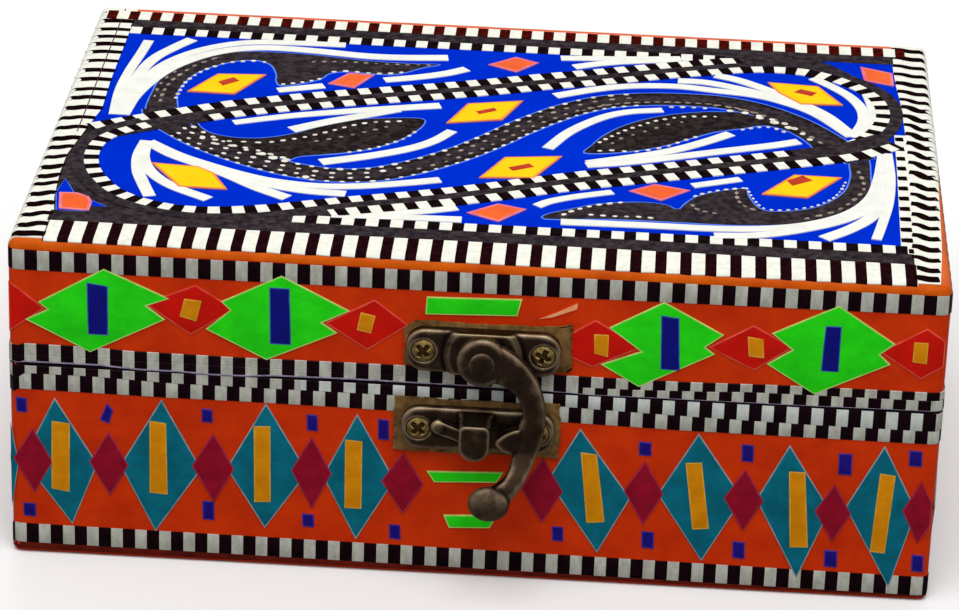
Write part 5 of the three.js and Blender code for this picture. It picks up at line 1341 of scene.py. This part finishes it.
def edgeWearOf(mesh):
    # how far a point stands out from its neighbourhood along its normal, where the neighbourhood is the mesh
    # relaxed again and again: new = half of the old and half of the neighbours' mean
    place, normal = pointValues(mesh, "co", 3), pointValues(mesh, "normal", 3)
    edge = np.empty(len(mesh.edges) * 2, int)
    mesh.edges.foreach_get("vertices", edge)
    start, end = np.concatenate([edge.reshape(-1, 2), edge.reshape(-1, 2)[:, ::-1]]).T
    count = len(place)
    degree = np.maximum(np.bincount(start, minlength=count), 1)[:, None]
    around = lambda v: np.stack([np.bincount(start, v[end, i], count) for i in range(v.shape[1])], -1) / degree
    relaxed = place
    for _ in range(castFacts["wearSteps"]):
        relaxed = (relaxed + around(relaxed)) / 2
    wear = np.einsum("ij,ij->i", place - relaxed, normal)[:, None] * 1000 / castFacts["wearHeight"]
    for _ in range(3):
        wear = (wear + around(wear)) / 2
    return np.clip(wear[:, 0], -1, 1)


def castPiece(nodeName, body, parts=None, wells=(), voxel=None, relax=None):
    # overlapping solids, or else the node's own, fused on small voxels and relaxed as the edges of a casting are,
    # then bored for the screws
    if parts:
        mesh = joinedMesh("temporary", parts)
    else:
        mesh = nodes[nodeName].data.copy()
        work = bmesh.new()
        work.from_mesh(mesh)
        bmesh.ops.remove_doubles(work, verts=work.verts, dist=2e-6)
        work.to_mesh(mesh)
        work.free()
    shapes = [bpy.data.objects.new("temporary", mesh)]
    remesh = shapes[0].modifiers.new("voxels", "REMESH")
    remesh.mode, remesh.voxel_size = "VOXEL", (voxel or castFacts["voxel"]) * 0.001
    smooth = shapes[0].modifiers.new("relax", "SMOOTH")
    smooth.factor, smooth.iterations = 0.5, relax or castFacts["relax"]
    if wells:
        shapes.append(bpy.data.objects.new("wells", joinedMesh("wells", wells)))
        bore = shapes[0].modifiers.new("bore", "BOOLEAN")
        bore.operation, bore.solver, bore.object = "DIFFERENCE", "MANIFOLD", shapes[1]
    for shape in shapes:
        bpy.context.scene.collection.objects.link(shape)
    bpy.context.view_layer.update()
    result = bpy.data.meshes.new_from_object(shapes[0].evaluated_get(bpy.context.evaluated_depsgraph_get()))
    for shape in shapes:
        bpy.data.objects.remove(shape)
    result.materials.clear()
    result.materials.append(bronze)
    result.attributes.new("edgeWear", "FLOAT", "POINT").data.foreach_set("value", edgeWearOf(result))
    result.polygons.foreach_set("material_index", np.zeros(len(result.polygons), int))
    result.polygons.foreach_set("use_smooth", [True] * len(result.polygons))
    result.name = nodeName + "_cast"
    print(nodeName, "cast with", len(result.polygons), "faces")
    addPiece(nodeName + "_cast", result, body, [nodeName])


screwFacts = {  # for a scale of 1; the recess is a cross of two slots
    "radius": 2.2, "dome": 0.55, "sink": 1.3, "recess": 0.75, "slotHalf": 0.36, "slotReach": 1.45, "slotEdge": 0.07,
}


def screwHead(nodeName, body, scale, side):
    # a dome, -dome * (r / radius)^2, pressed down where |u| and |v| fall inside the cross of the recess; each
    # slot's wall is 1 / (1 + e^((|q| - limit) / edge)). The last four rings are the rim, the cone and the shank
    low, high = (np.array(corner) * 1000 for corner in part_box(nodeName))
    centre = (low + high) / 2
    front = low[1] if side == "front" else high[1]
    radius, dome, sink, deep, slot, reach, edge = (value * scale for value in screwFacts.values())
    r = radius * np.concatenate([np.linspace(0.02, 1, 26), [1.0, 0.5, 0.45, 0.45]])
    angle = np.linspace(0, 2 * math.pi, castFacts["around"], endpoint=False)
    tilt = 0.75 if nodeName.endswith(("left", "inner")) else 0.4
    u, v = r[:, None] * np.cos(angle + tilt), r[:, None] * np.sin(angle + tilt)
    soft = lambda q, limit: 1 / (1 + np.exp((np.abs(q) - limit) / edge))
    cross = np.maximum(soft(u, slot) * soft(v, reach), soft(v, slot) * soft(u, reach))
    depth = (-dome * np.clip(r / radius, 0, 1) ** 2)[:, None] - deep * cross
    depth[26:] = np.array([-dome - 0.1, -sink, -sink - 1.0, -sink - 2.5])[:, None]
    x, z = r[:, None] * np.cos(angle), r[:, None] * np.sin(angle)
    out = -1 if side == "front" else 1
    points, quads, _ = cappedRings(np.stack([centre[0] + x, front + out * depth, centre[2] + z], -1))
    # faces in the cross take the darker copy: painted shade in the recess
    inRecess = cross[:-1].reshape(-1) > 0.5
    part = (points, quads, [*inRecess, 0, 0])
    makePiece(nodeName + "_head", body, [part], [brass, recess], [nodeName], 50)


def buildHardware():
    # each casting is a few simple solids that overlap; the hinges take the shapes of their CAD nodes
    x, z, pivot, front = latch["x"], latch["z"], latch["pivotZ"], latch["front"]
    boss = [(7.7, latch["back"]), (7.7, front), (7.3, front + 0.55), (6.6, front + 0.95), (5.2, front + 0.95)]
    wells = [screwWell(x + s * latch["screws"] / 2, z, front) for s in (-1, 1)]
    wells.append(turnedPart(x, pivot, [(castFacts["rivetBore"], 9.0), (castFacts["rivetBore"], -3.0)]))
    castPiece("latch_plate", "lid", [platePart(x, z, front), turnedPart(x, pivot, boss, -3.9, 4.7)], wells)

    rivet = [(1.3, 0.65), (1.3, 6.9), (2.5, 6.9), (2.5, 7.15), (2.25, 7.5), (1.7, 7.7), (0.9, 7.78), (0.05, 7.8)]
    castPiece("latch_pivot_rivet", "lid", [turnedPart(x, pivot, rivet)], voxel=0.1, relax=3)

    spurOutline = smoothPath([(x + a, pivot + b) for a, b in spur], 0.5)[1]
    spurPart = cutPiece("front", spurOutline, arm["back"] + 0.1, arm["front"] - 0.1, 0, 0, 0.5)
    castPiece("latch_swing_arm", "latch_arm", [bladePart(), headPart(), knobPart(), spurPart])

    x, z, front = keeper["x"], keeper["z"], keeper["front"]
    lugX, lugTop, lugFront = keeper["lugX"], keeper["lugTop"], keeper["lugFront"]
    shaft = [(7.0, 2.4, 0.7, front - 0.4), (7.0, 2.4, 0.7, front)]
    shaft += [(6.0, 2.0, 0.6, front + 1.4), (5.8, 2.0, 0.6, lugFront - 0.7)]
    bump = [(1.5, front - 0.4), (1.5, front + 0.5), (1.0, front + 0.95), (0.1, front + 1.05)]
    ribOutline = roundEndedOutline(x - 7.2, z + 0.5, 1.35, x - 2.6, z - 1.2, 1.25)
    keeperParts = [
        platePart(x, z, front),
        stackedPart(lugX, lugTop - 1.0, shaft),
        cutPiece("front", tongueOutline(), lugFront - 1.5, lugFront, 0, 0, 0.45),
        turnedPart(x - 7.5, z + 0.6, bump),
        cutPiece("front", ribOutline, front - 0.3, front + 0.85, 0, 0, 0.5),
    ]
    wells = [screwWell(x + s * latch["screws"] / 2, z, front) for s in (-1, 1)]
    castPiece("keeper_plate", "base", keeperParts, wells)

    for name, body in (("latch", "lid"), ("keeper", "base")):
        for side in ("left", "right"):
            screwHead(f"{name}_screw_{side}", body, 1.0, "front")
    for side in ("left", "right"):
        for body in ("base", "lid"):
            castPiece(f"hinge_{side}_{body}_leaf", body, voxel=0.16, relax=4)
            for end in ("inner", "outer"):
                screwHead(f"hinge_{side}_{body}_screw_{end}", body, 0.68, "back")  # a smaller screw
        castPiece(f"hinge_{side}_pin", "base", voxel=0.14, relax=6)


def tornPaper(name, body, outline, node):
    # backing paper left round a plate: its outline in short steps, each step's point wandering by a few tenths
    corners = np.array(outline + outline[:1], float)
    share = np.linspace(0, len(outline), 24 * len(outline) + 1)[:-1]
    x, z = (np.interp(share, range(len(corners)), corners[:, i]) for i in range(2))
    x = x + 0.1 * np.sin(share * 9.1) + 0.08 * np.sin(share * 23.0 + 1)
    z = z + 0.1 * np.sin(share * 7.3 + 2) + 0.08 * np.sin(share * 27.0)
    part = cutPiece("front", np.column_stack([x, z]), 0.05, 0.58, 0, 0, 0.12)
    makePiece(name, body, [part], [khaki], [node])


buildHardware()
tornPaper(
    "latch_backing_paper", "lid",
    [(-13.3, 44.9), (17.6, 44.9), (18.5, 46.0), (18.2, 51.5), (18.4, 55.0),
     (15.6, 54.4), (8.0, 54.1), (-11.5, 54.2), (-13.4, 52.5)],
    "latch_backing_patch",
)
tornPaper(
    "keeper_backing_paper", "base",
    [(-15.2, 26.9), (-6.0, 26.7), (6.0, 27.0), (16.6, 26.8), (16.9, 33.0), (16.4, 38.2), (2.0, 38.0), (-15.0, 38.1)],
    "keeper_backing_patch",
)
print("latch and hinges cast")


# Inside

lining = {"width": 164.0, "depth": 113.0, "thickness": 1.0, "corner": 1.5, "ruck": 0.12}


def liningPanel(name, body, lowZ, highZ, node, flip):
    # a thin sheet on a grid, whose free side rises and falls by two sines and is pressed down along its edge
    u, v = np.meshgrid(np.linspace(-1, 1, 83), np.linspace(-1, 1, 57), indexing="ij")
    x, y = u * (lining["width"] / 2 - 0.2), v * (lining["depth"] / 2 - 0.2)
    edge = np.clip((1 - np.maximum(np.abs(u), np.abs(v))) * 30, 0, 1)
    ruck = lining["ruck"] * (np.sin(x * 0.11 + y * 0.07) + np.sin(x * 0.05 - y * 0.16 + 1)) * edge
    ruck = ruck - 0.35 * (1 - edge) - 0.25
    free = (lowZ - ruck) if flip else (highZ + ruck)
    glued = np.full_like(x, highZ if flip else lowZ)
    grid = np.stack([np.stack([x, y, free], -1), np.stack([x, y, glued], -1)])
    n, m = x.shape
    quads = gridFaces(n, m)
    rim = [np.arange(m), np.arange(1, n) * m + m - 1, (n - 1) * m + np.arange(m - 2, -1, -1)]
    rim = np.concatenate([*rim, np.arange(n - 2, 0, -1) * m])
    back = quads[:, ::-1] + n * m
    side = np.stack([rim, rim + n * m, np.roll(rim, -1) + n * m, np.roll(rim, -1)], -1)
    part = closedPart(grid.reshape(-1, 3), np.concatenate([quads, back, side]), 0)
    piece = makePiece(name, body, [part], [velvet], [node], 60)


def liningBand(name, body, lowZ, highZ, node, wall):
    # a band round the inside of the walls, closed on itself, its free face slightly rucked
    levels, width, depth, thick = np.linspace(lowZ, highZ, 22), lining["width"], lining["depth"], lining["thickness"]
    ring = roundedRing(width - 0.1, depth - 0.1, lining["corner"])[0]
    rings = [np.column_stack([ring, np.full(len(ring), z)]) for z in levels]
    ring, normal = roundedRing(width - 2 * thick, depth - 2 * thick, 0.6)
    for z in levels[::-1]:
        around = ring[:, 0] * 0.13 + ring[:, 1] * 0.11
        ruck = lining["ruck"] * (np.sin(around * 1.7 + z * 0.2) + np.sin(around * 3.1 - z * 0.37)) / 2
        end = min(1.0, min(z - lowZ, highZ - z) / 1.5)
        bulge = (ruck * end + 0.3 * (1 - end))[:, None]
        rings.append(np.column_stack([ring + normal * bulge, np.full(len(ring), z)]))
    rings = np.array(rings)
    rows, columns = rings.shape[:2]
    part = closedPart(rings.reshape(-1, 3), gridFaces(rows, columns, rowsClosed=True, columnsClosed=True), 0)
    piece = makePiece(name, body, [part], [velvet], [node], 60)


def buildInside():
    # each lining fills the height of its CAD node; the boards keep their CAD shapes and take the wood
    levelsOf = lambda name: [corner[2] * 1000 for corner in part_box(name)]
    for name, node, body, flip in (("floor", "base_floor", "base", False), ("ceiling", "lid_ceiling", "lid", True)):
        liningPanel(f"{name}_velvet", body, *levelsOf(f"{node}_lining"), f"{node}_lining", flip)
    for body in ("base", "lid"):
        node = f"{body}_wall_lining"
        liningBand(f"{body}_wall_velvet", body, *levelsOf(node), node, f"{body}_front_wall")
    for name, node in nodes.items():
        if name.endswith(("_wall", "_board")):
            node.data.materials.clear()
            node.data.materials.append(wood)


buildInside()
print("inside lined")


# Studio and camera

studio = {  # each lamp's name, size in metres, power in watts and place; strength of the sky
    "lamps": [("softboxAbove", 0.95, 9.5, (0.0, -0.5, 1.1)), ("softboxBehind", 0.8, 4.0, (0.0, 0.95, 0.75))],
    "sky": 0.42,
    "floorHalf": 3.0, "floorDrop": 0.0001,  # in metres: half its side, and how far it lies under the box
    "floorBounce": 0.3,  # share of the light that the floor throws back
}


def buildStudio():
    # a pale room: rays from the camera and mirrored rays see pure white, the rest get a dimmer light
    mesh = bpy.data.meshes.new("floor")
    half, low = studio["floorHalf"], -studio["floorDrop"]
    mesh.from_pydata([(-half, -half, low), (half, -half, low), (half, half, low), (-half, half, low)], [], [(0, 1, 2, 3)])
    floor = bpy.data.objects.new("floor", mesh)
    bpy.context.scene.collection.objects.link(floor)
    # painted board: seen as white, but it throws back only part of the light, as a grey floor would
    material = bpy.data.materials.new("boardPaintedPale")
    material.use_nodes = True
    tree = material.node_tree
    tree.nodes.clear()
    rays = addNode(tree, "LightPath")
    seen = addNode(tree, "BsdfDiffuse", {"Color": (1, 1, 1, 1)})
    dim = addNode(tree, "BsdfDiffuse", {"Color": (studio["floorBounce"],) * 3 + (1,)})
    mix = addNode(tree, "MixShader", {0: rays.outputs["Is Camera Ray"], 1: dim.outputs[0], 2: seen.outputs[0]})
    addNode(tree, "OutputMaterial", {"Surface": mix.outputs[0]})
    mesh.materials.append(material)

    world = bpy.data.worlds.new("paleRoom")
    bpy.context.scene.world = world
    world.use_nodes = True
    tree = world.node_tree
    tree.nodes.clear()
    rays = addNode(tree, "LightPath")
    seen = rays.outputs["Is Camera Ray"]
    for kind in ("Is Glossy Ray", "Is Transmission Ray"):
        seen = addNode(tree, "Math", {0: seen, 1: rays.outputs[kind]}, operation="MAXIMUM").outputs[0]
    dim = addNode(tree, "Background", {"Color": (1, 1, 1, 1), "Strength": studio["sky"]})
    white = addNode(tree, "Background", {"Color": (1, 1, 1, 1), "Strength": 1.0})
    mix = addNode(tree, "MixShader", {0: seen, 1: dim.outputs[0], 2: white.outputs[0]})
    addNode(tree, "OutputWorld", {"Surface": mix.outputs[0]})

    for name, size, power, place in studio["lamps"]:
        light = bpy.data.lights.new(name, "AREA")
        light.shape, light.size, light.energy = "SQUARE", size, power
        lamp = bpy.data.objects.new(name, light)
        bpy.context.scene.collection.objects.link(lamp)
        lamp.location = place
        lamp.rotation_euler = (math.atan2(-place[1], place[2]), 0, 0)


view = {  # the camera that was fitted to the corners of the box in the photo, in degrees and millimetres
    "azimuth": 2.555, "elevation": 24.569, "roll": 1.944,
    "distance": 836.23, "target": (-2.264, 0.0, 28.862), "lens": 152.72,
}


def buildCamera():
    # back points from the target to the camera; right and up are turned by the roll about it
    a, e, r = (math.radians(view[k]) for k in ("azimuth", "elevation", "roll"))
    back = np.array([math.sin(a) * math.cos(e), -math.cos(a) * math.cos(e), math.sin(e)])
    right = np.array([math.cos(a), math.sin(a), 0.0])
    up = np.cross(back, right)
    rolledRight = math.cos(r) * right + math.sin(r) * up
    rolledUp = -math.sin(r) * right + math.cos(r) * up
    data = bpy.data.cameras.new("photoCamera")
    data.sensor_width = 36.0
    data.lens = view["lens"]
    data.clip_start = 0.05
    camera = bpy.data.objects.new("photoCamera", data)
    bpy.context.scene.collection.objects.link(camera)
    place = (np.array(view["target"]) + back * view["distance"]) * 0.001
    columns = np.column_stack([rolledRight, rolledUp, back, place])
    camera.matrix_world = Matrix([*columns.tolist(), (0, 0, 0, 1)])
    bpy.context.scene.camera = camera


buildStudio()
buildCamera()
bpy.context.scene.view_settings.view_transform = "Standard"
print("studio set")
